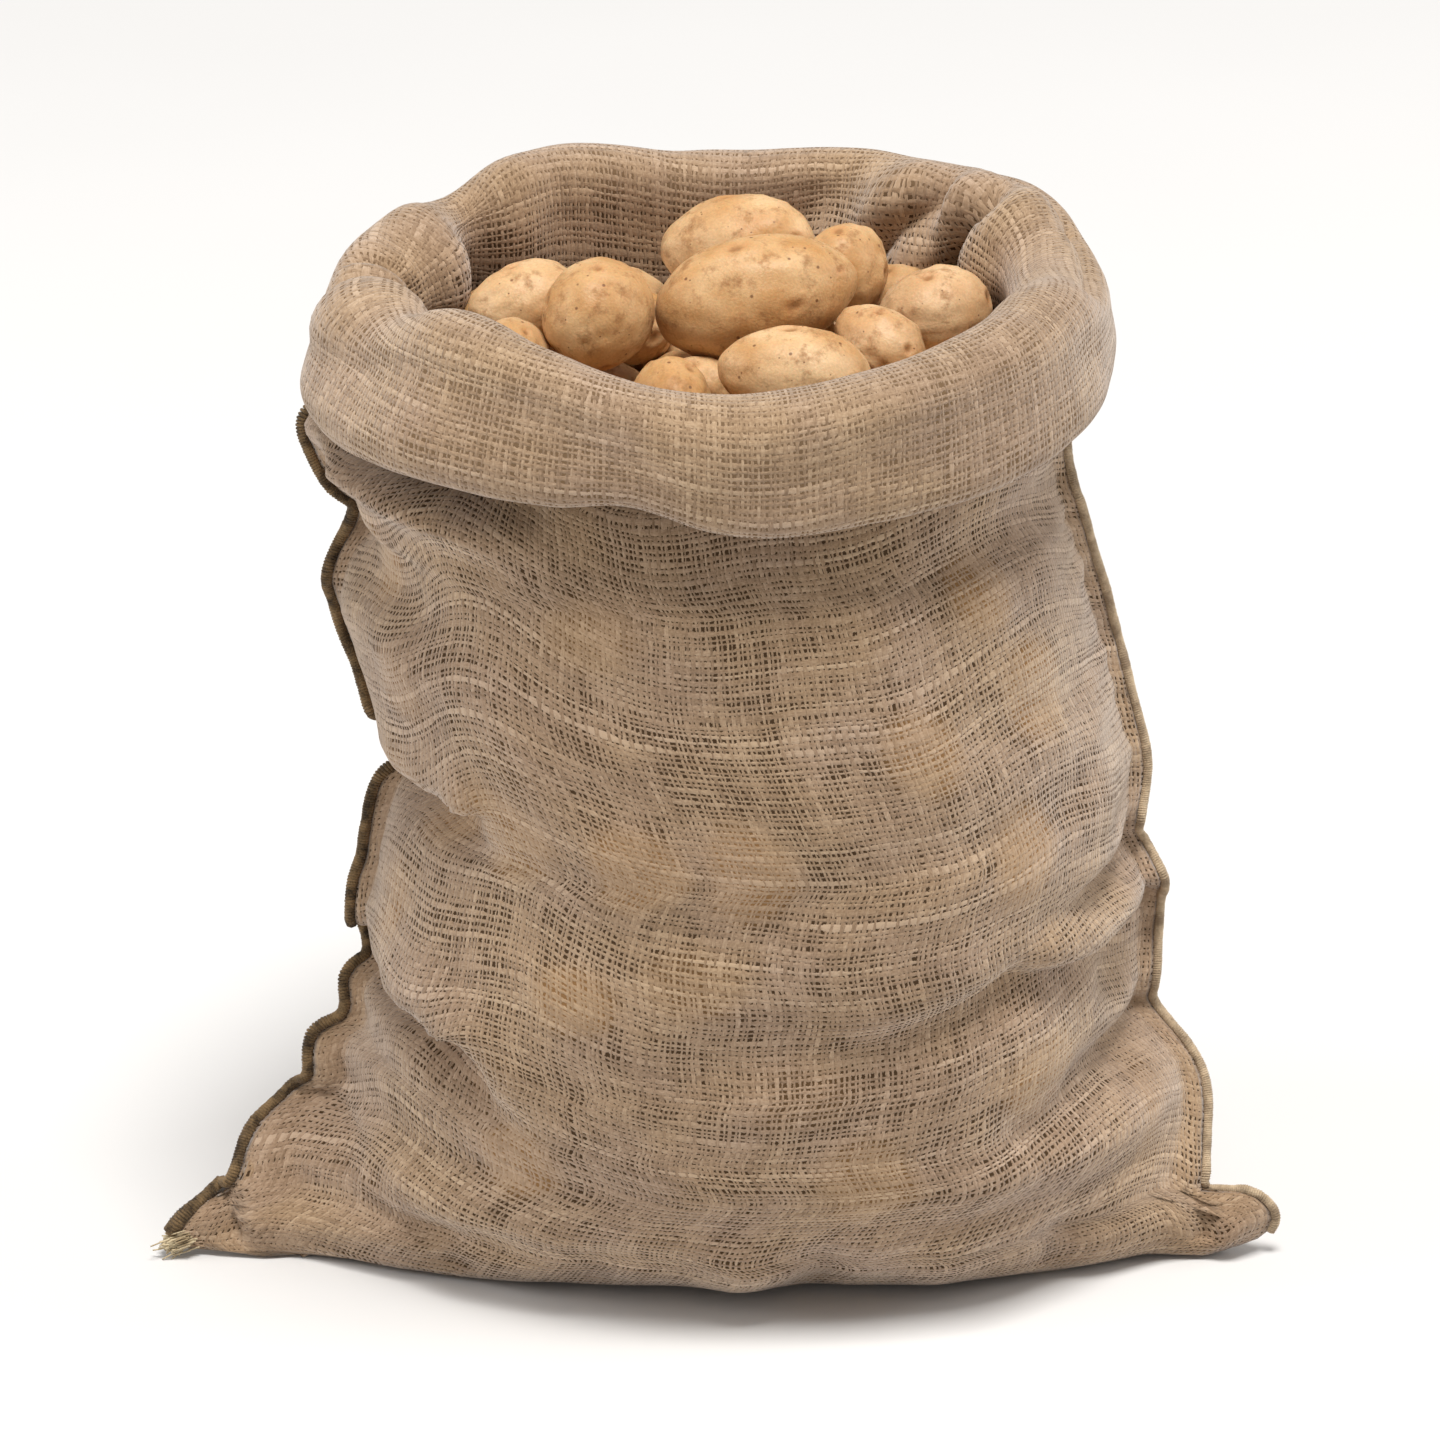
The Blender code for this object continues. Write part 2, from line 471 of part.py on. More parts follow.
def cloth_rows(around):
    """Every point of one column of the cloth, from the bottom fold to the hem."""
    floor = wall_point(around, 0.0)
    fold = Vector((floor.x, seam_line(LEVELS[0], floor.x), 0.0))
    rows = [fold.lerp(floor, row / UNDERSIDE_ROWS) for row in range(UNDERSIDE_ROWS)]
    rows += [pressed(around, level.height) for level in LEVELS]
    roll = roll_at(around)
    out = outward(mouth_point, around)
    outside = mouth_point(around) + out * roll.swell
    for index, (inset, height) in enumerate(roll_profile(roll)):
        tucked = pleat_depth(around, height) * max(0.0, 1.0 - index / 3.0)
        point = outside - out * (inset + tucked)
        rows.append(Vector((point.x, point.y, height)))
    return rows


def object_from(name, bm, finish, place):
    """A smooth-shaded mesh object made from a bmesh."""
    mesh = bpy.data.meshes.new(name)
    bm.to_mesh(mesh)
    bm.free()
    mesh.materials.append(material(finish))
    mesh.shade_smooth()
    made = bpy.data.objects.new(name, mesh)
    place.objects.link(made)
    return made


def carried_grid(columns, points_of):
    """A flat grid of cloth carried to its shape, with its two sides sewn together.

    points_of gives every row's point for a column's place around the sack.
    """
    carried = [points_of(column / columns) for column in range(columns)]
    rows = len(carried[0])
    bm = bmesh.new()
    bmesh.ops.create_grid(bm, x_segments=columns, y_segments=rows - 1, size=0.5)
    for vert in bm.verts:
        column = round((vert.co.x + 0.5) * columns) % columns
        row = round((vert.co.y + 0.5) * (rows - 1))
        vert.co = carried[column][row]
    bmesh.ops.remove_doubles(bm, verts=bm.verts, dist=1e-5)
    return bm


def build_cloth(place):
    """The hessian itself, from the bottom fold to the hem behind the cuff."""
    bm = carried_grid(COLUMNS, cloth_rows)
    made = object_from("sack_cloth", bm, HESSIAN, place)
    shell = made.modifiers.new("thickness", "SOLIDIFY")
    shell.thickness = CLOTH_THICKNESS
    shell.offset = -1.0
    shell.use_rim = True
    return made


def seam_route(around):
    """Points down one sewn edge, from under the cuff to the corner of the bottom fold."""
    side = Vector((-1.0 if around == 0.0 else 1.0, 0.0, 0.0))
    edge = [pressed(around, level.height) for level in LEVELS if level.height >= SEAM_FOOT]
    edge.reverse()
    route = []
    for index, point in enumerate(edge):
        above = edge[max(0, index - 1)]
        below = edge[min(len(edge) - 1, index + 1)]
        arriving = (point - above).normalized() if index > 0 else (below - point).normalized()
        leaving = (below - point).normalized() if index < len(edge) - 1 else arriving
        course = (arriving + leaving).normalized()
        away = (side - course * side.dot(course)).normalized()
        corner = math.sqrt(max(0.35, (1.0 + arriving.dot(leaving)) / 2.0))
        route.append(point + away * (SEAM_RADIUS + SEAM_GAP) / corner)
    return route


def build_seam(name, around, place):
    """The overlocked edge up one side, a thick bead of thread."""
    curve = bpy.data.curves.new(name, "CURVE")
    curve.dimensions = "3D"
    curve.bevel_depth = SEAM_RADIUS
    curve.bevel_resolution = 2
    curve.use_fill_caps = True
    route = seam_route(around)
    spline = curve.splines.new("POLY")
    spline.points.add(len(route) - 1)
    for point, place_at in zip(spline.points, route):
        point.co = (*place_at, 1.0)
    curve.materials.append(material(OVERLOCK))
    made = bpy.data.objects.new(name, curve)
    place.objects.link(made)
    return made


def potato_mesh(potato, grown=0.0):
    """A potato, thicker towards one end and a little dented. grown enlarges it all round."""
    bm = bmesh.new()
    bmesh.ops.create_uvsphere(
        bm, u_segments=POTATO_SEGMENTS, v_segments=POTATO_RINGS, radius=1.0
    )
    bmesh.ops.rotate(bm, verts=bm.verts, cent=(0, 0, 0), matrix=Matrix.Rotation(math.pi / 2, 3, "Y"))
    half = Vector((potato.length, potato.width, potato.height)) / 2.0
    for vert in bm.verts:
        unit = vert.co.copy()
        wide = 1.0 + potato.taper * unit.x
        dent = 1.0 + 0.035 * noise.noise(unit * 1.3 + Vector((potato.x, potato.y, potato.z)) * 90.0)
        vert.co = Vector(
            (
                unit.x * (half.x + grown) * dent,
                unit.y * (half.y * wide + grown) * dent,
                unit.z * (half.z * wide + grown) * dent,
            )
        )
    return bm


def build_potato(potato, place, grown=0.0, name=None):
    """One potato in its place, or its enlarged twin that cuts its socket."""
    made = object_from(name or potato.name, potato_mesh(potato, grown), POTATO_SKIN, place)
    made.location = (potato.x, potato.y, potato.z)
    made.rotation_euler = Euler((0.0, math.radians(-potato.tilt), math.radians(potato.turn)))
    return made


def heap_column(height, edge_first):
    """The first column, counted from one seam, where the belly is thick enough to hold potatoes."""
    column = float(FLAT_COLUMNS)
    step = 0.25
    level = level_at(height)
    while column < HALF_COLUMNS / 2:
        at = column if edge_first else HALF_COLUMNS - column
        gap = belly_point(level, at, False).y - belly_point(level, at, True).y
        if gap > HEAP_MIN_BELLY:
            break
        column += step
    return column if edge_first else HALF_COLUMNS - column


def heap_outline(around, height):
    """A point of the heap's side, a little inside the cloth."""
    front, column = column_at(around)
    first, last = heap_column(height, True), heap_column(height, False)
    place = (first + (last - first) * column / HALF_COLUMNS) / (2.0 * HALF_COLUMNS)
    place = place if front else 1.0 - place
    point = pressed(place, height)
    return point - outward(wall_point, place, height) * (CLOTH_THICKNESS + HEAP_CLEARANCE)


def heap_rows(around):
    """Every point of one column of the heap, from the middle of its foot to its crown."""
    outline = []
    for height in HEAP_LEVELS:
        point = heap_outline(around, height)
        if around in (0.0, 0.5):
            point = (point + heap_outline(around - 1e-6, height)) / 2.0
        point.z = max(height, HEAP_FOOT)
        outline.append(point)
    edge = outline[-1]
    middle = Vector((0.0, 0.0, HEAP_FOOT))
    crown = Vector((0.0, 0.0, HEAP_CROWN_HEIGHT))
    foot = [middle, middle.lerp(outline[0], 0.5)]
    top = []
    for share, rise in HEAP_DOME:
        point = edge.lerp(crown, share)
        point.z = edge.z + (crown.z - edge.z) * rise
        top.append(point)
    return foot + outline + top


def build_heap(place, cutters):
    """The hidden potatoes below, one solid with a socket under each potato that shows."""
    bm = carried_grid(HEAP_COLUMNS, heap_rows)
    bmesh.ops.recalc_face_normals(bm, faces=bm.faces)
    made = object_from("potato_heap", bm, POTATO_SKIN, place)
    for potato in POTATOES:
        twin = build_potato(potato, cutters, SOCKET_GROWTH, "socket_" + potato.name)
        twin.hide_render = True
        twin.display_type = "WIRE"
        cut = made.modifiers.new("socket", "BOOLEAN")
        cut.operation = "DIFFERENCE"
        cut.solver = "EXACT"
        cut.object = twin
    return made


def main():
    """Builds the sack, its seams, and the potatoes."""
    clear_scene()
    sack = collection_named("hessian_sack")
    cutters = collection_named("cutters")
    build_cloth(sack)
    build_seam("seam_left", 0.0, sack)
    build_seam("seam_right", 0.5, sack)
    for potato in POTATOES:
        build_potato(potato, sack)
    build_heap(sack, cutters)


main()
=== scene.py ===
"""The looks of a full hessian sack, standing with its mouth rolled down into a cuff and heaped with potatoes.

The sack is one length of coarse jute cloth, folded at the bottom and overlocked up both sides. Each
sub-assembly below is a class with its sizes as fields: the form that the cloth takes, the cloth itself, the
overlocked edges, the frayed corner, the potatoes that show and the ones under them, and the plain studio.
Units are metres but for the tables, which are in millimetres. +Z is up, and the sack stands on z = 0 with
its front towards -Y.
"""

import logging
import math
from collections import namedtuple
from dataclasses import dataclass
from enum import Enum
from typing import Callable, Iterable, Optional

import bmesh
import bpy
import numpy as np
from mathutils import Euler, Matrix, Vector, noise


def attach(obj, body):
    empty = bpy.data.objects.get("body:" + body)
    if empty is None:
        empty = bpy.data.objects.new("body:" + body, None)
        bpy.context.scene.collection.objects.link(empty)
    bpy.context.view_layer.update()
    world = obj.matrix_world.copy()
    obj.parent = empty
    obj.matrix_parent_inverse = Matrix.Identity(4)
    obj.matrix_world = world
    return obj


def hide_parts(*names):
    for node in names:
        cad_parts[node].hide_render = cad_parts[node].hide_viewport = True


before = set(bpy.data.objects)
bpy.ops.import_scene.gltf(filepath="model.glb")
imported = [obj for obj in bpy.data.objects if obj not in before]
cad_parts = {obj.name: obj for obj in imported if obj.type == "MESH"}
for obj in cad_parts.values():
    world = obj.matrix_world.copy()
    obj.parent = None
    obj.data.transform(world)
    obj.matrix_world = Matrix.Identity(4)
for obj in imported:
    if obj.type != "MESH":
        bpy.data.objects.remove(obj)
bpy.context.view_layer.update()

Array = np.ndarray
BMesh = bmesh.types.BMesh
Colour = tuple[float, float, float, float]
Material = bpy.types.Material
Piece = bpy.types.Object
Socket = bpy.types.NodeSocket
log = logging.getLogger("hessian_sack")

BODY = "root"
MM = 1000  # millimetres in a metre
ROW_SHARE = 0.87  # of the spacing of round things in a row: how far apart their closest rows lie


class Face(Enum):
    """The two faces of the sack that its side seams part."""

    FRONT = "front"
    BACK = "back"


class Side(Enum):
    """The two sewn edges: where each lies, by the share of the way round the sack, and the way it faces."""

    LEFT = (0.0, -1.0)
    RIGHT = (0.5, 1.0)


# ---------------------------------------------------------------------------------------------------------
# Tables of the form, in millimetres. They are the construction's own.


def table(kind: type, plain: str, *rows: tuple) -> list:
    """Names the columns of a table and turns its lengths to metres.

    Args:
        kind: the rows' named tuple.
        plain: the columns that aren't lengths, which stay as they are.
        rows: the rows, in millimetres.

    Returns:
        The rows as named tuples.
    """
    kept = plain.split()
    pairs = (zip(kind._fields, row) for row in rows)
    return [kind(*(value if name in kept else value / MM for name, value in pair)) for pair in pairs]


# The cloth's outline by height. Each sewn edge has its place, the width of the flat strip beside it, half
# that strip's thickness, and how softly the belly rises from it. The last row is the open mouth's.
Level = namedtuple(
    "Level",
    "height left_x left_y left_flat left_puff left_pinch"
    " right_x right_y right_flat right_puff right_pinch front back",
)
*LEVELS, MOUTH = table(
    Level, "left_pinch right_pinch",
    (0, -214, -46, 30, 3.4, 2.2, 214, -44, 30, 4.5, 1.8, -70, 86),
    (4, -236, -46, 42, 3.6, 2.4, 230, -44, 34, 6.5, 1.9, -81, 96),
    (8, -238, -46, 46, 3.7, 2.4, 237.5, -44, 36, 8, 1.9, -88, 102),
    (14, -235, -46, 42, 3.8, 2.4, 241.5, -44, 37, 9.5, 1.9, -95, 107),
    (20, -229, -43, 36, 3.8, 2.3, 241.5, -44, 37, 10, 1.9, -102, 112),
    (25.5, -218, -39, 31, 3.8, 2.2, 237.5, -44, 35, 9.5, 1.9, -107, 116),
    (30, -211.5, -36, 27, 3.8, 2.2, 230, -43, 30, 8, 1.9, -111, 119),
    (33.5, -209.5, -34, 25, 3.7, 2.2, 213.5, -39, 14, 5.5, 1.7, -113, 120),
    (42, -206.5, -27, 20, 3.5, 2.0, 212.5, -32, 12, 4.6, 1.6, -119, 124),
    (52, -199.5, -19, 17, 3.4, 1.9, 212.5, -19, 10, 3.6, 1.6, -123, 127),
    (61, -186, -12, 14, 3.4, 1.8, 213, -11, 9, 3.4, 1.5, -127, 130),
    (70, -177.5, -10, 14, 3.4, 1.7, 211.5, -3, 8, 3.4, 1.4, -130, 131),
    (80, -177.5, -8, 14, 3.4, 1.7, 204, 2, 8, 3.4, 1.4, -132, 133),
    (90, -174.5, -6, 12, 3.4, 1.6, 192.5, 5, 8, 3.4, 1.3, -133, 134),
    (96.5, -163, -5, 8, 3.4, 1.4, 189, 6, 8, 3.4, 1.3, -134, 135),
    (114, -161, -2, 7, 3.4, 1.3, 191, 9, 8, 3.4, 1.3, -135, 136),
    (120.5, -151, 0, 6, 3.4, 1.2, 191.5, 10, 8, 3.4, 1.3, -135, 136),
    (140, -157, 0, 6, 3.4, 1.1, 192.5, 10, 8, 3.4, 1.3, -136, 137),
    (158, -156.5, 0, 6, 3.4, 1.1, 193.5, 10, 8, 3.4, 1.2, -136, 137),
    (172, -152.5, 0, 6, 3.4, 1.1, 185, 7, 7, 3.4, 1.2, -135, 136),
    (183, -151, 0, 6, 3.4, 1.1, 180.5, 4, 7, 3.4, 1.2, -134, 136),
    (209, -144, 0, 6, 3.4, 1.1, 184, 5, 7, 3.4, 1.1, -133, 135),
    (218.5, -127.5, 0, 6, 3.4, 1.1, 183.5, 6, 6, 3.4, 1.1, -133, 135),
    (228, -133, 0, 6, 3.4, 1.0, 181.5, 8, 6, 3.4, 1.1, -133, 135),
    (245, -147.5, 0, 6, 3.4, 1.0, 177, 10, 6, 3.4, 1.1, -132, 134),
    (295, -166.5, 0, 6, 3.4, 1.0, 163.5, 10, 6, 3.4, 1.1, -128, 130),
    (335.5, -152.5, 0, 8, 3.4, 1.1, 153, 0, 6, 3.4, 1.1, -122, 125),
    (343, -162, 0, 9, 3.4, 1.1, 150, 0, 6, 3.4, 1.1, -120, 124),
    (360, -171, 0, 15, 3.4, 1.2, 146.5, 0, 6, 3.4, 1.1, -115, 120),
    (378, -172, 0, 14, 3.4, 1.2, 146, 0, 6, 3.4, 1.0, -111, 116),
    (388, -150, 0, 6, 3.4, 1.0, 144, 0, 6, 3.4, 1.0, -108, 114),
    (425, -166, 0, 6, 3.4, 1.0, 164, 0, 6, 3.4, 1.0, -135, 140),
)

# The rolled mouth, by the share of the way round the sack.
Roll = namedtuple("Roll", "around crest lower_edge radius swell flare")
ROLLS = table(
    Roll, "around",
    (0.000, 436, 398, 16.5, -1, 2),
    (0.040, 442, 394, 19.5, 1, 8),
    (0.085, 444, 391, 17, -2, 12),
    (0.135, 456, 394, 17.5, 1, 11),
    (0.190, 445, 389, 15.5, 0, 5),
    (0.225, 435, 390, 16.5, 1, 1),
    (0.255, 431, 379, 17, 1, 2),
    (0.310, 437, 381, 16, -1, 3),
    (0.370, 447, 387, 18, 1, 3),
    (0.430, 451, 395, 20.5, 0, 3),
    (0.500, 443, 401, 19.5, -1, 2),
    (0.550, 447, 402, 18.5, 0, 2),
    (0.600, 453, 400, 16.5, 1, 2),
    (0.650, 450, 397, 14.5, 0, 2),
    (0.700, 450, 395, 13.5, -1, 2),
    (0.760, 446, 392, 13, 0, 2),
    (0.815, 453, 395, 14, 1, 2),
    (0.865, 444, 393, 14.5, -1, 2),
    (0.930, 440, 394, 17.5, 1, 2),
)

Pleat = namedtuple("Pleat", "around width depth")
PLEATS = table(Pleat, "around width", (0.585, 0.018, 12), (0.655, 0.022, 12), (0.930, 0.022, 8))

# A crease runs from (x0, z0) to (x1, z1) in the view of its face. Below 0 its depth makes a ridge. lean is
# how much the full cloth on the left of that run (above 0) or on its right (below 0) hangs over it.
Crease = namedtuple("Crease", "x0 z0 x1 z1 depth width lean", defaults=(0.0,))
CREASES = {
    Face.FRONT: table(
        Crease, "lean",
        (-137, 238, -118, 239, 16, 11, 1.0),
        (-118, 239, -104, 220, 8, 10, 0.4),
        (-158, 134, -126, 136, 17, 12, 1.0),
        (-126, 136, -106, 116, 12.5, 12, 0.7),
        (-106, 116, -86, 92, 7.5, 13, 0.3),
        (-184, 62, -150, 54, 7, 9, 0.5),
        (186, 146, 128, 161, 12, 12, -0.7),
        (128, 161, 60, 141, 8.5, 14, -0.4),
        (60, 141, 10, 128, 3.5, 16),
        (190, 173, 142, 181, 7, 8),
        (192, 161, 142, 172, -4, 7),
        (182, 187, 146, 194, -4, 8),
        (146, 229, 84, 228, 4.5, 14),
        (84, 228, 8, 204, 3, 16),
        (188, 127, 160, 131, 6, 9),
        (196, 94, 160, 100, 8, 10, -0.5),
        (160, 100, 110, 86, 4, 14),
        (213.5, 31, 210.5, 7, 7.5, 5.5),
        (-214, 25, -207, 5, 11, 6.5, 0.6),
        (40, 150, -50, 128, 4, 18),
        (-160, 40, -60, 24, 4.5, 11),
        (-156, 384, -78, 377, 21, 7.5),
        (-154, 368, -70, 360, -9, 9),
        (-160, 318, -110, 322, 5, 10),
        (-60, 330, -40, 270, 2.5, 14),
        (140, 352, 60, 340, 5, 12),
        (-160, 286, -100, 276, 4, 12),
        (170, 268, 110, 280, 4, 12),
        (-120, 26, -112, 0, 5, 11),
        (-52, 30, -56, 0, 5, 13),
        (10, 26, 6, 0, -9.5, 19),
        (46, 34, 40, 0, 6, 11),
        (98, 26, 94, 0, -4, 14),
        (150, 28, 146, 0, 6, 12),
    ),
    Face.BACK: table(
        Crease, "lean",
        (186, 186, 90, 216, 11, 12),
        (196, 92, 100, 58, 12, 14),
        (-156, 150, -56, 108, 11, 14),
        (-140, 258, -46, 292, 7, 14),
        (50, 64, -70, 42, 6, 13),
        (120, 350, 30, 330, 6, 12),
        (-170, 80, -110, 40, 8, 12),
    ),
}

# Soft ridges (height above 0) and troughs of the rolled mouth, in its own cloth: around the sack, and in
# millimetres over the roll from its crest, inwards and down below 0 and outwards and down above it.
Fold = namedtuple("Fold", "around0 over0 around1 over1 height width")
FOLDS = table(
    Fold, "around0 around1",
    (0.966, -34, 0.968, 2, -12, 10),
    (0.984, -34, 0.984, 4, 4, 7),
    (0.997, -30, 1.002, 12, -11, 7),
    (0.034, -20, 0.040, 16, 6, 26),
    (0.070, 14, 0.125, 26, -1.8, 14),
    (0.170, 10, 0.200, 30, -1.6, 20),
    (0.250, 30, 0.330, 14, 1.6, 14),
    (0.410, 10, 0.440, 34, -2, 14),
    (0.470, 12, 0.545, 9, -4, 4),
    (0.545, 9, 0.620, 4, -4, 4),
    (0.566, -50, 0.570, -10, 7, 17),
    (0.622, -64, 0.590, -18, -15, 9),
    (0.658, -62, 0.612, -19, 11, 13),
    (0.686, -62, 0.630, -20, -11, 7),
    (0.716, -62, 0.652, -19, 9.5, 15),
    (0.748, -60, 0.700, -18, -5, 12),
    (0.840, -60, 0.846, -6, 3, 14),
    (0.876, -60, 0.872, -8, -10, 17),
    (0.918, -60, 0.914, -8, 6, 14),
    (0.945, -50, 0.944, -8, -4, 10),
)

# Potatoes, turned in degrees. golden is how golden (up to 1) or how pale (down to -1) the skin is: partly
# each skin's own tint, and partly painted shade on the darker, more golden ones.
Potato = namedtuple("Potato", "name x y z length width height turn tilt taper golden", defaults=(0.0,))
POTATOES = table(
    Potato, "name turn tilt taper golden",
    ("potato_large", 16.5, -3, 431, 86, 51, 52, 10, 10, -0.08, 0.35),
    ("potato_top", 9, 55, 431, 66, 44, 45, -8, 4, 0.08),
    ("potato_knob", 54.5, 36.5, 427.5, 41, 34, 42, 60, 10, -0.08, 0.2),
    ("potato_left", -81, 22, 418, 50, 38, 36, 12, 6, 0.12, -0.15),
    ("potato_round", -50, -18, 429, 51, 45, 46, 60, 0, 0.05, 0.25),
    ("potato_low_left", -86, -30, 412, 42, 32, 36, 80, 0, 0.06),
    ("potato_low_centre", -19, -61, 406, 40, 34, 38, 100, 0, 0.06, 0.5),
    ("potato_front", 32, -56, 417, 64, 42, 40, -4, -6, 0.08, -0.1),
    ("potato_small", 67, -25, 419, 42, 30, 31, -38, -18, 0.12, -0.35),
    ("potato_right", 91, 21, 414.5, 51, 40, 38, 30, 4, 0.10, -0.5),
    ("potato_back", -47, 71, 396, 58, 42, 38, 4, 0, 0.06),
    ("potato_centre", -36, 32, 404, 36, 32, 32, 15, 0, 0.06),
    ("potato_mid_front", -9, -27, 397, 36, 28, 32, 0, 0, 0.04),
    ("potato_front_left", -60, -64, 402, 50, 34, 34, -34, 0, 0.08),
    ("potato_front_right", 83, -53, 399, 50, 34, 34, 38, 0, 0.08),
    ("potato_back_right", 77, 62, 403, 42, 32, 34, -38, 0, 0.06),
    ("potato_back_left", -93.5, 56, 399, 40, 29, 32, 40, 0, 0.06),
)


# ---------------------------------------------------------------------------------------------------------
# Small helpers.


def linear(code: str) -> Colour:
    """Turns an sRGB hex colour to the linear values that shaders take.

    Args:
        code: six hex digits, after a #.

    Returns:
        Linear red, green and blue, with an alpha of 1.
    """
    parts = [int(code[i : i + 2], 16) / 255.0 for i in (1, 3, 5)]
    red, green, blue = (c / 12.92 if c <= 0.04045 else ((c + 0.055) / 1.055) ** 2.4 for c in parts)
    return red, green, blue, 1.0


def smoothstep(low: float, high: float, value: Array) -> Array:
    """Gives 0 below low, 1 above high, and a soft step between."""
    share = np.clip((value - low) / (high - low), 0.0, 1.0)
    return share * share * (3.0 - 2.0 * share)


def plateau(span: tuple, value: Array) -> Array:
    """Gives a rise from 0 to 1 between a span's first two numbers, and a fall to 0 between its last two."""
    return smoothstep(span[0], span[1], value) * (1.0 - smoothstep(span[2], span[3], value))


def way_round(here: Array, there: Array) -> Array:
    """The shorter way round the sack from one place to another, from -0.5 to 0.5."""
    return (here - there + 0.5) % 1.0 - 0.5


def unit(vectors: Array) -> Array:
    """Vectors scaled to length 1."""
    return vectors / np.maximum(np.linalg.norm(vectors, axis=-1, keepdims=True), 1e-12)


def noise_at(points: Array, size: float, seed: Array) -> Array:
    """Soft noise from -1 to 1 with features of one size, for an array of points (... x 3)."""
    flat = points.reshape(-1, 3) / size + seed
    return np.array([noise.noise(Vector(p)) for p in flat]).reshape(points.shape[:-1])


def resample(at: Array, run: Array, line: Array) -> Array:
    """Points at given lengths along a line, from its own points and their lengths along it."""
    return np.stack([np.interp(at, run, line[:, axis]) for axis in range(3)], axis=1)


def length_along(points: Array) -> Array:
    """The length from the first point, or the first row of points, to each one."""
    steps = np.linalg.norm(np.diff(points, axis=0), axis=-1)
    return np.concatenate([np.zeros((1, *steps.shape[1:])), np.cumsum(steps, axis=0)])


def curve(start: Array, end: Array, leaving: Array, arriving: Array, share: Array) -> Array:
    """Reads a smooth curve between two points.

    Args:
        start: the first point, or many of them.
        end: the second.
        leaving: the speed at the first.
        arriving: the speed at the second.
        share: how far along the curve to read.

    Returns:
        The points on it.
    """
    square, cube = share**2, share**3
    return (
        start * (2 * cube - 3 * square + 1)
        + end * (3 * square - 2 * cube)
        + leaving * (cube - 2 * square + share)
        + arriving * (cube - square)
    )


def between_rows(rows: Iterable[tuple], at: Array, period: Optional[float] = None) -> Array:
    """Reads a table between its rows, on smooth curves.

    Args:
        rows: its rows. Their first column rises, and says where each lies.
        at: the places to read.
        period: where the table closes on itself, if it does.

    Returns:
        The values there, for each column after the first.
    """
    keys, *values = np.array(rows, float).T
    values, at = np.array(values), np.asarray(at, float)
    if period:
        at = at % period
        keys = np.concatenate([keys[-2:] - period, keys, keys[:2] + period])
        values = np.concatenate([values[:, -2:], values, values[:, :2]], axis=1)
    at = np.clip(at, keys[0], keys[-1])
    start = np.clip(np.searchsorted(keys, at, side="right") - 1, 0, len(keys) - 2)
    before, end, after = np.maximum(start - 1, 0), start + 1, np.minimum(start + 2, len(keys) - 1)
    span = keys[end] - keys[start]
    leaving = (values[:, end] - values[:, before]) / (keys[end] - keys[before]) * span
    arriving = (values[:, after] - values[:, start]) / (keys[after] - keys[start]) * span
    return curve(values[:, start], values[:, end], leaving, arriving, (at - keys[start]) / span)


def smooth_rows(points: Array, counts: Iterable[int]) -> Array:
    """Adds rows between rows of points, on a smooth curve down each column.

    Args:
        points: rows x columns x 3.
        counts: how many steps each gap between rows is cut in, from the second gap to the last.

    Returns:
        The rows from the second of the given ones to the last.
    """
    gap = np.linalg.norm(np.diff(points, axis=0), axis=2)[..., None]
    last = len(points) - 1
    rows = []
    for index, count in enumerate(counts, start=1):
        here, there = points[index], points[index + 1]
        leaving = (there - points[index - 1]) / (gap[index] + gap[index - 1]) * gap[index]
        arriving = there - here
        if index + 1 < last:
            arriving = (points[index + 2] - here) / (gap[index] + gap[index + 1]) * gap[index]
        rows += [curve(here, there, leaving, arriving, share) for share in np.arange(count) / count]
    return np.array([*rows, points[last]])


def mesh_from(name: str, bm: BMesh) -> bpy.types.Mesh:
    """Turns a bmesh into a mesh, and frees it.

    Args:
        name: the mesh's name.
        bm: the bmesh.

    Returns:
        The mesh.
    """
    mesh = bpy.data.meshes.new(name)
    bm.to_mesh(mesh)
    bm.free()
    return mesh


def take_in(bm: BMesh, mesh: bpy.types.Mesh) -> None:
    """Moves a mesh into a bmesh."""
    bm.from_mesh(mesh)
    bpy.data.meshes.remove(mesh)


def carried_grid(points: Array, uv: Optional[Array] = None, **attributes: Array) -> BMesh:
    """Carries a flat grid to rows of points that each close on themselves, and sews where points meet.

    Args:
        points: rows x columns x 3.
        uv: the flat cloth's own coordinates, rows x columns + 1 x 2, if the grid is cloth.
        attributes: values for the points' attributes, each rows x columns.

    Returns:
        The sewn grid.
    """
    rows, columns = points.shape[:2]
    bm = bmesh.new()
    bmesh.ops.create_grid(bm, x_segments=columns, y_segments=rows - 1, size=0.5)
    cloth = None if uv is None else bm.loops.layers.uv.new("cloth")
    layers = [(bm.verts.layers.float.new(name), values) for name, values in attributes.items()]
    for vert in bm.verts:
        column, row = round((vert.co.x + 0.5) * columns), round((vert.co.y + 0.5) * (rows - 1))
        place = row, column % columns
        for loop in vert.link_loops if cloth else ():
            loop[cloth].uv = uv[row, column]
        for layer, values in layers:
            vert[layer] = values[place]
        vert.co = points[place]
    bmesh.ops.remove_doubles(bm, verts=bm.verts, dist=1e-5)
    return bm


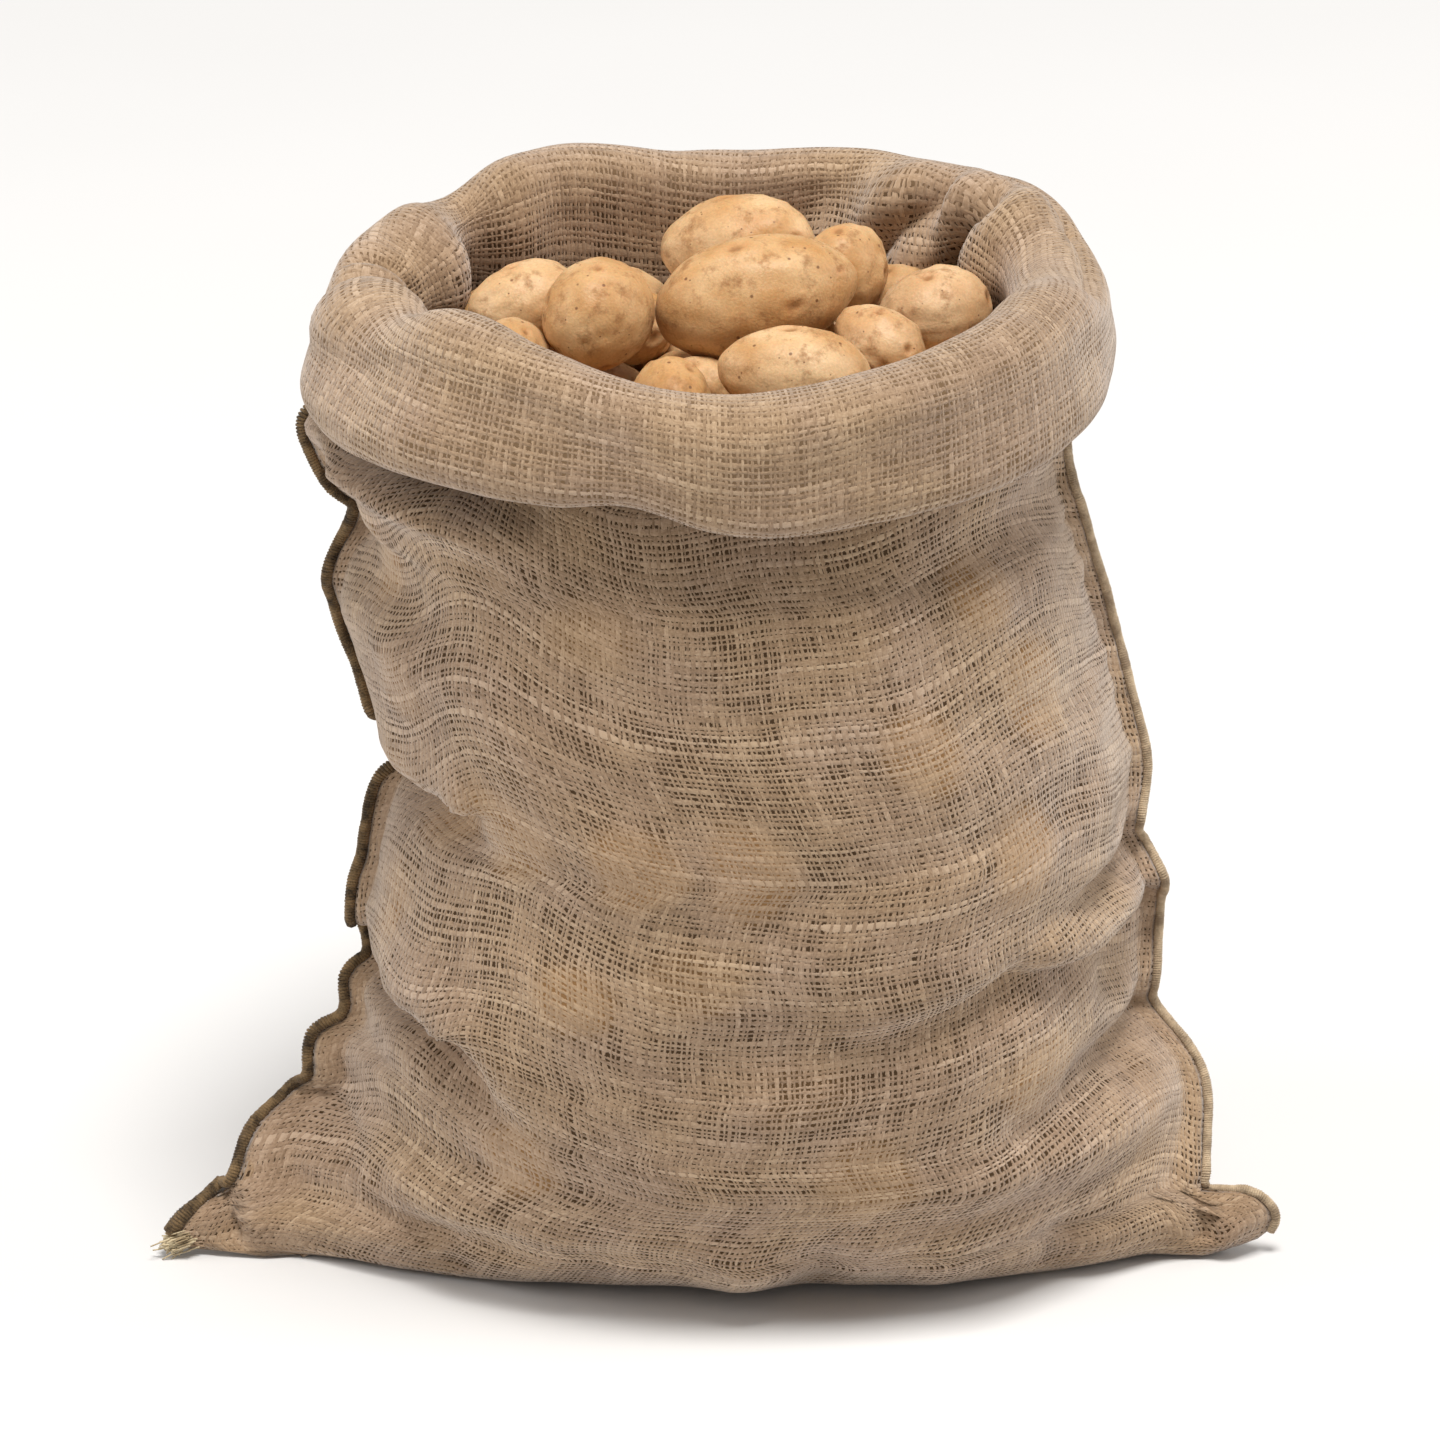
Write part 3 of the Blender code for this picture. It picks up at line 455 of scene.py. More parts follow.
def show(name: str, mesh: bpy.types.Mesh, material: Material, slot: str, *nodes: str) -> Piece:
    """Puts a finished mesh in the scene as one smooth piece that rides on the sack's body.

    Args:
        name: the piece's name.
        mesh: its mesh, already in place.
        material: its finish.
        slot: the record's material slot that it stands for; not used.
        nodes: the construction's nodes that it replaces.

    Returns:
        The piece.
    """
    mesh.materials.append(material)
    mesh.shade_smooth()
    piece = bpy.data.objects.new(name, mesh)
    bpy.context.scene.collection.objects.link(piece)
    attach(piece, BODY)
    if nodes:
        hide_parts(*nodes)
    log.info("%s: %d vertices, %d faces", name, len(mesh.vertices), len(mesh.polygons))
    return piece


# ---------------------------------------------------------------------------------------------------------
# Finishes.

MIXED = {"data_type": "RGBA", "out": 2}  # a mix of colours
ON_CLOTH = {"noise_dimensions": "2D"}
SOFTLY = {"interpolation_type": "SMOOTHSTEP"}
XY = slice(2)  # the first two outputs


class Graph:
    """The node tree of one new material."""

    def __init__(self, name: str) -> None:
        """Starts a material that holds an output alone.

        Args:
            name: the material's name.
        """
        self.material = bpy.data.materials.new(name)
        self.material.use_nodes = True
        self.tree = self.material.node_tree
        self.tree.nodes.clear()
        self.output = self.tree.nodes.new("ShaderNodeOutputMaterial")

    def add(self, kind: str, *values: object, out: int | slice = 0, **settings: object) -> Socket | list:
        """Adds a node with its settings and links.

        Args:
            kind: the node's type without its leading ShaderNode, and after a colon its operation.
            values: what the first inputs take, in order: a socket to link, or a number or colour.
            out: the index of the output to return, or a slice for more of them.
            settings: the node's own properties, and, with a capital, what other inputs take. Their names
                are the inputs' identifiers, with _ for a space.

        Returns:
            The node's output socket, or a list of them.
        """
        kind, _, operation = kind.partition(":")
        node = self.tree.nodes.new("ShaderNode" + kind)
        if operation:
            node.operation = operation
        for key in [key for key in settings if key[0].islower()]:
            setattr(node, key, settings.pop(key))
        named = {socket.identifier.replace(" ", "_"): socket for socket in node.inputs}
        inputs = [*zip(node.inputs, values), *((named[key], value) for key, value in settings.items())]
        for socket, value in inputs:
            if isinstance(value, Socket):
                self.tree.links.new(value, socket)
            else:
                socket.default_value = value
        return node.outputs[out]

    def finish(self, shader: Socket) -> Material:
        """Links the surface to the output and gives the material."""
        self.tree.links.new(shader, self.output.inputs["Surface"])
        return self.material


@dataclass(frozen=True)
class HessianFinish:
    """Hessian: single jute yarns in an open plain weave, unbleached and rough.

    Jute yarn is thick and thin along its length, so the eye sees pale slubs both ways, small dark gaps
    between the yarns, and fibres that soften every edge and catch the light at its turning edges. The gaps
    are painted, not open. They show painted shade of the dark inside. Where a potato presses from behind,
    they show its golden skin in painted shade. Where the cloth is doubled over the rim, they show the layer
    behind in painted shade, only as dark as that layer. The low parts of each yarn are painted darker
    towards these colours, as painted shade.
    """

    warp_pitch: float = 0.00238  # the yarns that run up the sack
    weft_pitch: float = 0.0031
    pairing: float = 0.30  # how much two warp yarns that shared a dent of the loom's reed crowd together
    yarn_width: float = 0.65  # of the pitch
    relief: float = 0.0011
    pale: str = "#BDA68D"
    middle: str = "#9F866B"
    dark: str = "#7E664C"
    greyer: str = "#F8F2F0"
    warmer: str = "#FFF8EC"
    pressed: str = "#C79F6C"
    # painted shade: the colours that the gaps show, for the dark inside, the doubled layer behind and a
    # pressing potato
    gap: str = "#46331F"
    shaded_backing: str = "#755D44"
    golden: str = "#8A6742"
    roughness: float = 0.92
    sheen: float = 0.38
    half_girth: float = 0.50  # from seam to seam
    slubs: float = 80.0  # to the metre along a yarn
    yarn_seeds: tuple = (7.31, 5.77)  # the steps that tell the noise of one warp or weft yarn from the next
    streaks: tuple = (1900.0, 330.0)  # of fibre to the metre, across a yarn and along it
    grain: float = 800.0  # to the metre, as are the casts of colour
    casts: float = 17.0
    fuzz: tuple = (1100.0, 0.30)  # to the metre, and its reach in shares of a yarn
    wander: tuple = (8.0, 5.0)  # the yarns' slow swerves to the metre, and their reach in yarns
    wiggle: tuple = (110.0, 0.30)  # and their quick ones
    spacing: tuple = (0.6, 0.8)  # how unevenly the warp and the weft are spaced, in yarns
    bands: tuple = ((58.0, 17.0, 0), (17.0, 64.0, 0))  # of slack warp and weft, to the metre each way
    slack_from: tuple = (1.08, 1.38)
    selvedge: tuple = (0.030, 0.115)  # from the seam, where the weave begins to open and where it is open
    crimp: float = 0.45  # share of the weave's height by which one yarn climbs over the next
    shade_stretch: tuple = ((1.37, 0.40, 0), (0.40, 1.61, 0))  # of the yarns' shades, against their slubs
    pale_stretch: tuple = (0.14, 2.3, 0)  # of the pale weft yarns, against their shades
    pale_part: tuple = (0.64, 0.74, 0.0, 0.22)  # the noise that makes a yarn pale, and by how much
    tone_parts: tuple = (0.42, 0.24, 0.39, 0.39)  # of the shade, slubs, streaks and grain in a yarn's tone
    tone_base: float = -0.23
    tones: tuple = (0.26, 0.50, 0.80)  # that take the dark, the middle and the pale colour
    cast_part: tuple = (0.36, 0.64)
    press_warmth: float = 0.16
    shadow: tuple = (0.05, 0.55, 0.66, 1.0)  # two heights of a yarn, and how much of its colour stays at each against the painted shade
    hiding: tuple = (0.02, 0.32)  # heights between which a yarn comes to hide what lies behind
    streak_relief: float = 0.16

    def build(self) -> Material:
        """Makes the material, on the cloth's own UV map, in metres, and its attributes press and doubled.

        Returns:
            The material.
        """
        g = Graph("hessian_jute_plain_weave")
        uv = g.add("UVMap", uv_map="cloth")
        place = self._yarn_places(g, uv)
        warp_no, weft_no = g.add("SeparateXYZ", g.add("VectorMath:FLOOR", place), out=XY)
        u, v = g.add("SeparateXYZ", uv, out=XY)
        # Slubs: thickness that changes along each yarn, on its own.
        factors = *self.yarn_seeds, self.slubs, self.slubs
        warp_at, weft_at, along_warp, along_weft = (
            g.add("Math:MULTIPLY", value, factor)
            for value, factor in zip((warp_no, weft_no, v, u), factors)
        )
        lines = g.add("CombineXYZ", warp_at, along_warp), g.add("CombineXYZ", along_weft, weft_at)
        slubs = [g.add("TexNoise", line, Scale=1.0, Detail=2.0, **ON_CLOTH) for line in lines]
        top, warp_on_top = self._heights(g, uv, place, slubs, self._slack(g, uv, u))

        # Each yarn's own shade, its slubs, and the streaks of its fibres.
        lines = [
            g.add("VectorMath:MULTIPLY", line, stretch)
            for line, stretch in zip(lines, self.shade_stretch)
        ]
        shades = [g.add("TexNoise", line, Scale=1.0, Detail=0.0, **ON_CLOTH) for line in lines]
        warp_streak = g.add("VectorMath:MULTIPLY", uv, (*self.streaks, 0))
        weft_streak = g.add("VectorMath:MULTIPLY", uv, (*self.streaks[::-1], 0))
        streak_at = g.add(
            "Mix", warp_on_top, A_Vector=weft_streak, B_Vector=warp_streak, data_type="VECTOR", out=1
        )
        streak = g.add("TexNoise", streak_at, Scale=1.0, Detail=1.0, **ON_CLOTH)
        shade, thick = (
            g.add("Mix", warp_on_top, A_Float=weft, B_Float=warp, data_type="FLOAT")
            for warp, weft in (shades, slubs)
        )
        grain = g.add("TexNoise", uv, Scale=self.grain, Detail=2.0, **ON_CLOTH)
        pale_line = g.add("VectorMath:MULTIPLY", lines[1], self.pale_stretch)
        pale_yarn = g.add("TexNoise", pale_line, Scale=1.0, Detail=0.0, **ON_CLOTH)
        pale_yarn = g.add("MapRange", pale_yarn, *self.pale_part)
        lit = g.add("Math:MULTIPLY_ADD", warp_on_top, -1.0, 1.0)
        shade_part, *parts = self.tone_parts
        tone = g.add("Math:MULTIPLY_ADD", shade, shade_part, self.tone_base)
        for value, part in zip((pale_yarn, thick, streak, grain), (lit, *parts)):
            tone = g.add("Math:MULTIPLY_ADD", value, part, tone)
        yarn = g.add("ValToRGB", tone)
        ramp = yarn.node.color_ramp
        ramp.elements[0].color, ramp.elements[1].color = linear(self.dark), linear(self.pale)
        ramp.elements[0].position, middle, ramp.elements[1].position = self.tones
        ramp.elements.new(middle).color = linear(self.middle)

        # Cloth is a little greyer here and warmer there, and golden where potatoes press.
        cast = g.add("TexNoise", uv, Scale=self.casts, Detail=2.0, **ON_CLOTH)
        cast = g.add("MapRange", cast, *self.cast_part)
        tint = g.add("Mix", cast, A_Color=linear(self.greyer), B_Color=linear(self.warmer), **MIXED)
        yarn = g.add("Mix", 1.0, A_Color=yarn, B_Color=tint, blend_type="MULTIPLY", **MIXED)
        press, doubled = (g.add("Attribute", out=2, attribute_name=name) for name in ("press", "doubled"))
        warm = g.add("Math:MULTIPLY", press, self.press_warmth)
        yarn = g.add("Mix", warm, A_Color=yarn, B_Color=linear(self.pressed), **MIXED)
        # Painted shade: what shows through the gaps is painted, each of these colours standing in for shade.
        behind = linear(self.gap)
        for share, seen in ((doubled, self.shaded_backing), (press, self.golden)):
            behind = g.add("Mix", share, A_Color=behind, B_Color=linear(seen), **MIXED)
        # Painted shade: the low parts of each yarn darken towards the gaps' painted shade, which shows fully
        # where no yarn covers.
        depth = g.add("MapRange", top, *self.shadow, **SOFTLY)
        closed = g.add("MapRange", top, *self.hiding, **SOFTLY)
        colour = yarn
        for share in (depth, closed):
            colour = g.add("Mix", share, A_Color=behind, B_Color=colour, **MIXED)

        fuzz_light = g.add("Math:MULTIPLY", closed, self.sheen)
        raised = g.add("Math:MULTIPLY_ADD", streak, self.streak_relief, top)
        bump = g.add("Bump", Height=raised, Distance=self.relief, Strength=0.5)
        return g.finish(g.add(
            "BsdfPrincipled", colour, Normal=bump, Roughness=self.roughness, Sheen_Weight=fuzz_light,
            Sheen_Roughness=0.6, Specular_IOR_Level=0.25,
        ))

    def _yarn_places(self, g: Graph, uv: Socket) -> Socket:
        """Counts the yarns across and up the cloth, as they wander and crowd.

        Args:
            g: the material.
            uv: the place on the flat cloth.

        Returns:
            The place, with a whole number for each yarn.
        """
        place = g.add("VectorMath:MULTIPLY", uv, (1 / self.warp_pitch, 1 / self.weft_pitch, 0))
        # Yarns wander over a few centimetres, and no two are spaced quite alike.
        often, far = self.wander
        wander = g.add("TexNoise", uv, Scale=often, Detail=1.0, out=1, **ON_CLOTH)
        wander = g.add("VectorMath:SUBTRACT", wander, (0.5, 0.5, 0.5))
        place = g.add("VectorMath:MULTIPLY_ADD", wander, (far, far, 0), place)
        often, far = self.wiggle
        wiggle = g.add("TexNoise", uv, Scale=often, Detail=1.0, out=1, **ON_CLOTH)
        place = g.add("VectorMath:MULTIPLY_ADD", wiggle, (far, far, 0), place)
        uneven = (
            g.add("TexNoise", W=part, Scale=0.55, Detail=0.0, noise_dimensions="1D")
            for part in g.add("SeparateXYZ", place, out=XY)
        )
        uneven = g.add("CombineXYZ", *uneven)
        place = g.add("VectorMath:MULTIPLY_ADD", uneven, (*self.spacing, 0), place)
        pair = g.add("VectorMath:SINE", g.add("VectorMath:MULTIPLY", place, (math.pi, math.pi, 0)))
        return g.add("VectorMath:MULTIPLY_ADD", pair, (self.pairing / math.pi, 0, 0), place)

    def _slack(self, g: Graph, uv: Socket, u: Socket) -> Socket:
        """Says where the weave is slack.

        The loom beats some bands of yarns closer than others, both ways. Where two slack bands cross, the
        gaps open into a squarish dark patch. Beside the seams, where the cloth was beaten up against its
        selvedge, they all but close.

        Args:
            g: the material.
            uv: the place on the flat cloth.
            u: how far that is round it.

        Returns:
            The slackness, from about -0.6 to 1.
        """
        warp_band, weft_band = (
            g.add("TexNoise", g.add("VectorMath:MULTIPLY", uv, bands), Scale=1.0, Detail=1.0, **ON_CLOTH)
            for bands in self.bands
        )
        slack = g.add("Math:MULTIPLY_ADD", warp_band, 1.25, weft_band)
        slack = g.add("MapRange", slack, *self.slack_from, **SOFTLY)
        side = g.add("Math:PINGPONG", u, self.half_girth / 2)
        side = g.add("MapRange", side, *self.selvedge, 1.0, 0.0, **SOFTLY)
        return g.add("Math:MULTIPLY_ADD", side, -0.60, slack)

    def _heights(self, g: Graph, uv: Socket, place: Socket, slubs: list, slack: Socket) -> tuple:
        """Weaves the yarns over and under each other.

        Args:
            g: the material.
            uv: the place on the flat cloth.
            place: the place in whole yarns.
            slubs: the thickness of the warp and of the weft.
            slack: how slack the weave is.

        Returns:
            The height of the upper yarn, and whether that is the warp's.
        """
        within = g.add("VectorMath:SUBTRACT", g.add("VectorMath:FRACTION", place), (0.5, 0.5, 0.5))
        slub = g.add("CombineXYZ", *slubs)
        middling = (self.yarn_width / 2 - 0.25,) * 3
        half_width = g.add("VectorMath:MULTIPLY_ADD", slub, (0.50, 0.50, 0), middling)
        narrow = g.add("Math:MULTIPLY_ADD", slack, -0.30, 1.12)
        half_width = g.add("VectorMath:SCALE", half_width, Scale=narrow)
        often, far = self.fuzz
        fuzz = g.add("TexNoise", uv, Scale=often, Detail=1.0, out=1, **ON_CLOTH)
        fuzz = g.add("VectorMath:MULTIPLY_ADD", fuzz, (far, far, 0), (-far / 2, -far / 2, 0))
        half_width = g.add("VectorMath:ADD", half_width, fuzz)
        ratio = g.add("VectorMath:DIVIDE", within, half_width)
        ratio = g.add("VectorMath:MULTIPLY", ratio, ratio)
        covered = g.add("VectorMath:MAXIMUM", g.add("VectorMath:SUBTRACT", (1, 1, 1), ratio), (0, 0, 0))
        profile = g.add("VectorMath:POWER", covered, (0.5, 0.5, 0.5))

        # Over one yarn, under the next.
        wave = g.add("VectorMath:SINE", g.add("VectorMath:MULTIPLY", place, (math.pi,) * 3))
        sign = g.add("VectorMath:SIGN", wave)
        wave_x, wave_y = g.add("SeparateXYZ", wave, out=XY)
        other = g.add("CombineXYZ", wave_y, g.add("Math:MULTIPLY", wave_x, -1.0))
        over = g.add("VectorMath:MULTIPLY", sign, other)
        over = g.add("VectorMath:MULTIPLY_ADD", over, (0.5, 0.5, 0), (0.5, 0.5, 0))
        climb, round_top = self.crimp, 1.0 - self.crimp
        height = g.add("VectorMath:MULTIPLY", over, (climb, climb, 0))
        height = g.add("VectorMath:MULTIPLY_ADD", profile, (round_top, round_top, 0), height)
        present = g.add("VectorMath:MINIMUM", g.add("VectorMath:MULTIPLY", covered, (8.0, 8.0, 0)), (1, 1, 1))
        both = g.add("SeparateXYZ", g.add("VectorMath:MULTIPLY", height, present), out=XY)
        return g.add("Math:MAXIMUM", *both), g.add("Math:GREATER_THAN", *both)


class ThreadTone(Enum):
    """The threads' shades, dark and light: the overlock thread in a darker copy, painted shade, for the left
    seam, and in a lighter copy, painted light, for the right seam, and the raw yarn's.
    """

    OLIVE_BROWN = ("#382B1C", "#866D4C")
    STRAW = ("#96826A", "#CAB496")
    RAW = ("#A08B6B", "#DCCBA8")


@dataclass(frozen=True)
class ThreadFinish:
    """Overlocking thread: soft-spun jute twine, so the eye sees a matt, hairy cord with a loose twist."""

    tone: ThreadTone
    fibre: float = 0.0007
    patches: float = 150.0  # of darker thread, to the metre
    grain_part: float = 0.40
    contrast: tuple = (0.54, 0.86)
    relief: float = 0.0004
    roughness: float = 0.95

    def build(self) -> Material:
        """Makes the material, on Object coordinates.

        Returns:
            The material.
        """
        g = Graph("jute_thread_" + self.tone.name.lower())
        where = g.add("TexCoord", out=3)
        grain, patch = (
            g.add("TexNoise", where, Scale=scale, Detail=detail)
            for scale, detail in ((1 / self.fibre, 2.0), (self.patches, 3.0))
        )
        mixed = g.add("Math:MULTIPLY_ADD", grain, self.grain_part, patch)
        mixed = g.add("MapRange", mixed, *self.contrast)
        low, high = self.tone.value
        colour = g.add("Mix", mixed, A_Color=linear(low), B_Color=linear(high), **MIXED)
        bump = g.add("Bump", Height=grain, Distance=self.relief, Strength=0.8)
        return g.finish(g.add(
            "BsdfPrincipled", colour, Normal=bump, Roughness=self.roughness, Sheen_Weight=0.15,
            Specular_IOR_Level=0.25,
        ))


@dataclass(frozen=True)
class PotatoFinish:
    """Washed yellow potatoes: a thin waxy skin, so a soft highlight over a golden, slightly translucent body.

    The eye sees small brown pores, darker sunken eyes with a pink blush, and rough russet patches.
    """

    name: str = "potato_skin_washed"
    skin: str = "#BF905C"
    light: str = "#D6B285"
    tan: str = "#F2E6CE"
    cream: str = "#E8C9A6"
    russet: str = "#8F6238"
    blush: str = "#B67C4A"
    pore: str = "#6E4727"
    eye: str = "#94683F"
    roughness: float = 0.47
    patches: float = 46.0  # of lighter skin, to the metre
    patch_part: tuple = (0.34, 0.66)
    scuffs: float = 120.0  # to the metre
    scuff_part: tuple = (0.52, 0.68, 0.0, 0.72)  # the noise that makes the skin russet, and how much
    mottle: float = 900.0  # to the metre
    mottle_part: tuple = (0.3, 0.7, 0.90, 1.06)
    pores: tuple = ((0.0068, 0.150, 0.50), (0.0042, 0.13, 0.45))  # size of a cell, reach and share of cells
    pore_core: float = 0.45  # share of a pore's reach that is dark all through
    pore_depth: float = 0.85
    eye_part: tuple = (0.55, 0.95, 0.0, 0.8)
    blush_part: float = 0.55
    relief: float = 0.00035

    def build(self) -> Material:
        """Makes the material, on Object coordinates and the attributes eye and golden.

        Returns:
            The material.
        """
        g = Graph(self.name)
        where = g.add("TexCoord", out=3)
        eye, golden = (g.add("Attribute", out=2, attribute_name=name) for name in ("eye", "golden"))
        broad = g.add("TexNoise", where, Scale=self.patches, Detail=3.0)
        broad = g.add("MapRange", broad, *self.patch_part)
        colour = g.add("Mix", broad, A_Color=linear(self.skin), B_Color=linear(self.light), **MIXED)
        # Painted shade, in part: the more golden skins are also darker all over.
        tanned = g.add("Mix", 1.0, A_Color=colour, B_Color=linear(self.tan), blend_type="MULTIPLY", **MIXED)
        paler = g.add("Math:MULTIPLY", golden, -0.45)
        scuffed = g.add("TexNoise", where, Scale=self.scuffs, Detail=5.0, Roughness=0.68)
        scuffed = g.add("MapRange", scuffed, *self.scuff_part)
        for share, over in ((golden, tanned), (paler, linear(self.cream)), (scuffed, linear(self.russet))):
            colour = g.add("Mix", share, A_Color=colour, B_Color=over, **MIXED)
        fine = g.add("TexNoise", where, Scale=self.mottle, Detail=2.0)
        colour = g.add("VectorMath:SCALE", colour, Scale=g.add("MapRange", fine, *self.mottle_part))
        spots = [(g.add("Math:MULTIPLY", eye, self.blush_part), self.blush)]
        # Pores: one in each cell of two sizes, and most cells have none.
        for size, reach, share in self.pores:
            cell = g.add("TexVoronoi", where, Scale=1 / size)
            chance = g.add("SeparateXYZ", cell.node.outputs["Color"])
            chosen = g.add("Math:LESS_THAN", chance, share)
            spot = g.add("MapRange", cell, reach, reach * self.pore_core, 0.0, self.pore_depth, **SOFTLY)
            spots.append((g.add("Math:MULTIPLY", spot, chosen), self.pore))
        spots.append((g.add("MapRange", eye, *self.eye_part, **SOFTLY), self.eye))
        for share, tone in spots:
            colour = g.add("Mix", share, A_Color=colour, B_Color=linear(tone), **MIXED)
        lumps = g.add("Math:MULTIPLY_ADD", scuffed, 0.35, fine)
        bump = g.add("Bump", Height=lumps, Distance=self.relief, Strength=0.6)
        gloss = g.add("MapRange", scuffed, 0.0, 0.62, self.roughness, self.roughness + 0.25)
        return g.finish(g.add(
            "BsdfPrincipled", colour, Normal=bump, Roughness=gloss, IOR=1.45, Specular_IOR_Level=0.42,
            Subsurface_Weight=0.12, Subsurface_Scale=0.004,
        ))


@dataclass(frozen=True)
class PaperFinish:
    """Studio paper: matt and nearly white."""

    colour: str = "#DEDDDC"

    def build(self) -> Material:
        """Makes the material.

        Returns:
            The material.
        """
        g = Graph("studio_paper")
        mottle = g.add("TexNoise", g.add("TexCoord", out=3), Scale=3.0)
        shade = g.add("MapRange", mottle, 0.3, 0.7, 0.985, 1.0)
        colour = g.add("VectorMath:SCALE", linear(self.colour)[:3], Scale=shade)
        return g.finish(g.add("BsdfPrincipled", colour, Roughness=0.95))


# ---------------------------------------------------------------------------------------------------------
# The cloth's form.


@dataclass
class SackForm:
    """The shape that the filled sack gives its cloth: the construction's formulas, read more finely.

    A place around the sack runs from the left seam (0) past the front (0.25), the right seam (0.5) and the
    back. The cloth's columns part each section in equal lengths, as the yarns that run up it do. A span has
    four heights or places: where an effect sets in, is full, begins to fade and has faded.
    """

    columns: int = 260
    samples: int = 500  # of half a section, to find its columns
    wall_step: float = 0.0034
    roll_step: float = 0.0030
    underside_rows: int = 6
    parts: int = 30  # the outline's formula divides each face in this many parts
    flat_parts: int = 2  # of them, those in the flat strip beside each seam
    belly_parts: int = 3  # and those over which each face gets its own creases
    belly_squareness: float = 0.72
    mouth_squareness: float = 0.88
    mouth_fullness: float = 0.94
    rounding_from: float = 0.346
    wall_top: float = 0.388
    crest_angles: tuple = (155, 120, 88, 56, 26, -4)
    crest_row_angle: int = 88
    curl_radius: float = 0.007
    curl_angles: tuple = (-20, -65, -115, -170)
    hem_length: float = 0.024
    shoulder: float = 0.012
    flare_rows: tuple = ((0.40, 0.5), (0.80, 1.0))  # shares of the way down to the curl, and of the flare
    tucked_rows: int = 3  # rows of the roll over which the pleats fade
    bump_size: float = 0.075
    bump_height: float = 0.0028
    bump_seed: tuple = (3.1, 7.4, 1.9)
    dent_reach: float = 0.036  # a sewn edge's dents are measured from its mean run this far up and down
    dent_samples: int = 7
    dent_span: tuple = (0.075, 0.110, 0.330, 0.350)
    dent_fade: int = 8  # how quickly the belly forgets the dents, away from the seam
    seam_tuck: tuple = (0.003, 0.006, 0.0)  # the left seam's middle lies this far in and behind the belly
    tuck_span: tuple = (0.240, 0.268, 0.284, 0.312)
    tuck_parts: tuple = (0.5, 3.0)  # the tuck fades over these
    ear_notch: float = 0.008  # the notch above the right bottom corner is drawn down by this
    notch_reach: tuple = (0.190, 0.2135, 0.216, 0.230)
    notch_span: tuple = (0.006, 0.020, 0.045, 0.095)
    pleats_from: tuple = (0.350, 0.400)
    crease_span: tuple = (0.0, 0.014, 0.378, 0.390)
    crease_rest: float = 0.25  # share of a crease's depth that is left above that span
    crease_end: tuple = (0.55, 1.0, 0.35)  # the part of its run that shallows, and to what share of its depth
    crease_edges: tuple = (0.35, 0.85)  # how much a lean widens its slack side, and steepens its full one
    brow: tuple = (1.2, 0.8, 0.28)  # the brow of a leaning crease: its place and width in widths, its height
    hang: tuple = (0.9, 0.7, 0.5)  # and of the fullness that hangs over it, the same
    flat_slide: float = 0.4  # share of that fullness that the flat strips beside the seams follow

    def __post_init__(self) -> None:
        """Works out the grid of the cloth."""
        heights = np.linspace(0.0, self.wall_top, round(self.wall_top / self.wall_step) + 1)
        walls, places = zip(*(self._wall_row(height) for height in heights))
        self.wall_rows = len(heights)
        mouth = self._even_places(self._mouth)
        roll, counts = self._roll(mouth, walls[-2], walls[-1])
        underside = self._underside(walls[0])
        self.points = np.concatenate([underside, np.array(walls)[:-1], roll])
        self.places = np.array([places[0]] * len(underside) + list(places[:-1]) + [mouth] * len(roll))
        crest_steps = sum(counts[: 2 + self.crest_angles.index(self.crest_row_angle)])
        self.crest_row = len(underside) + len(heights) - 1 + crest_steps

    def _level(self, height: Array) -> Level:
        """The outline of the cloth at any height up to the roll."""
        return Level(height, *between_rows(LEVELS, height))

    def _dents(self, level: Level) -> tuple[float, float]:
        """How far the two sewn edges step aside, at one height, from their own calmer run.

        Args:
            level: the outline at that height.

        Returns:
            The steps of the left and of the right edge, along X.
        """
        near = self._level(level.height + np.linspace(-1.0, 1.0, self.dent_samples) * self.dent_reach)
        amount = plateau(self.dent_span, level.height)
        return (level.left_x - near.left_x.mean()) * amount, (level.right_x - near.right_x.mean()) * amount

    def _part(self, around: Array) -> tuple[Array, Array]:
        """Whether each place is at the front, and its part counted from the left seam."""
        front = around <= 0.5
        return front, 2.0 * self.parts * np.where(front, around, 1.0 - around)

    @staticmethod
    def _signed_power(value: Array, exponent: float) -> Array:
        """A power that keeps its base's sign."""
        return np.sign(value) * np.abs(value) ** exponent

    @staticmethod
    def _seam_line(level: Level, x: Array) -> Array:
        """The y of the line from one sewn edge to the other."""
        share = (x - level.left_x) / (level.right_x - level.left_x)
        return level.left_y + (level.right_y - level.left_y) * share

    def _belly(self, level: Level, around: Array, dents: tuple[float, float]) -> Array:
        """Makes the filled section, pinched to a flat strip beside each seam.

        The sewn edges' dents fade within 5 cm, so the belly between them stays full.

        Args:
            level: the outline at its height.
            around: the places to read.
            dents: how far each sewn edge steps aside there.

        Returns:
            The section's points.
        """
        front, part = self._part(around)
        on_left = part < self.parts / 2
        from_edge = np.where(on_left, part, self.parts - part)
        puff = np.where(on_left, level.left_puff, level.right_puff)
        pinch = np.where(on_left, level.left_pinch, level.right_pinch)
        left, right = level.left_x + level.left_flat, level.right_x - level.right_flat
        flat = from_edge / self.flat_parts
        strip = level.left_x + level.left_flat * flat, level.right_x - level.right_flat * flat
        angle = math.pi * (part - self.flat_parts) / (self.parts - 2 * self.flat_parts)
        angle = np.clip(angle, 0.0, math.pi)
        share = 0.5 - 0.5 * self._signed_power(np.cos(angle), self.belly_squareness)
        x = left + (right - left) * share
        for dent, near in zip(dents, (1.0 - share, share)):
            x = x + dent * (near**self.dent_fade - near)
        x = np.where(from_edge < self.flat_parts, np.where(on_left, *strip), x)
        seam_y = self._seam_line(level, x)
        full = np.abs(np.where(front, level.front, level.back) - seam_y)
        bulge = full * np.maximum(0.0, np.sin(angle)) ** pinch
        thickness = np.hypot(puff * np.minimum(1.0, from_edge), bulge)
        y = np.where(front, seam_y - thickness, seam_y + thickness)
        return np.stack([x, y, np.full_like(x, level.height)], axis=1)

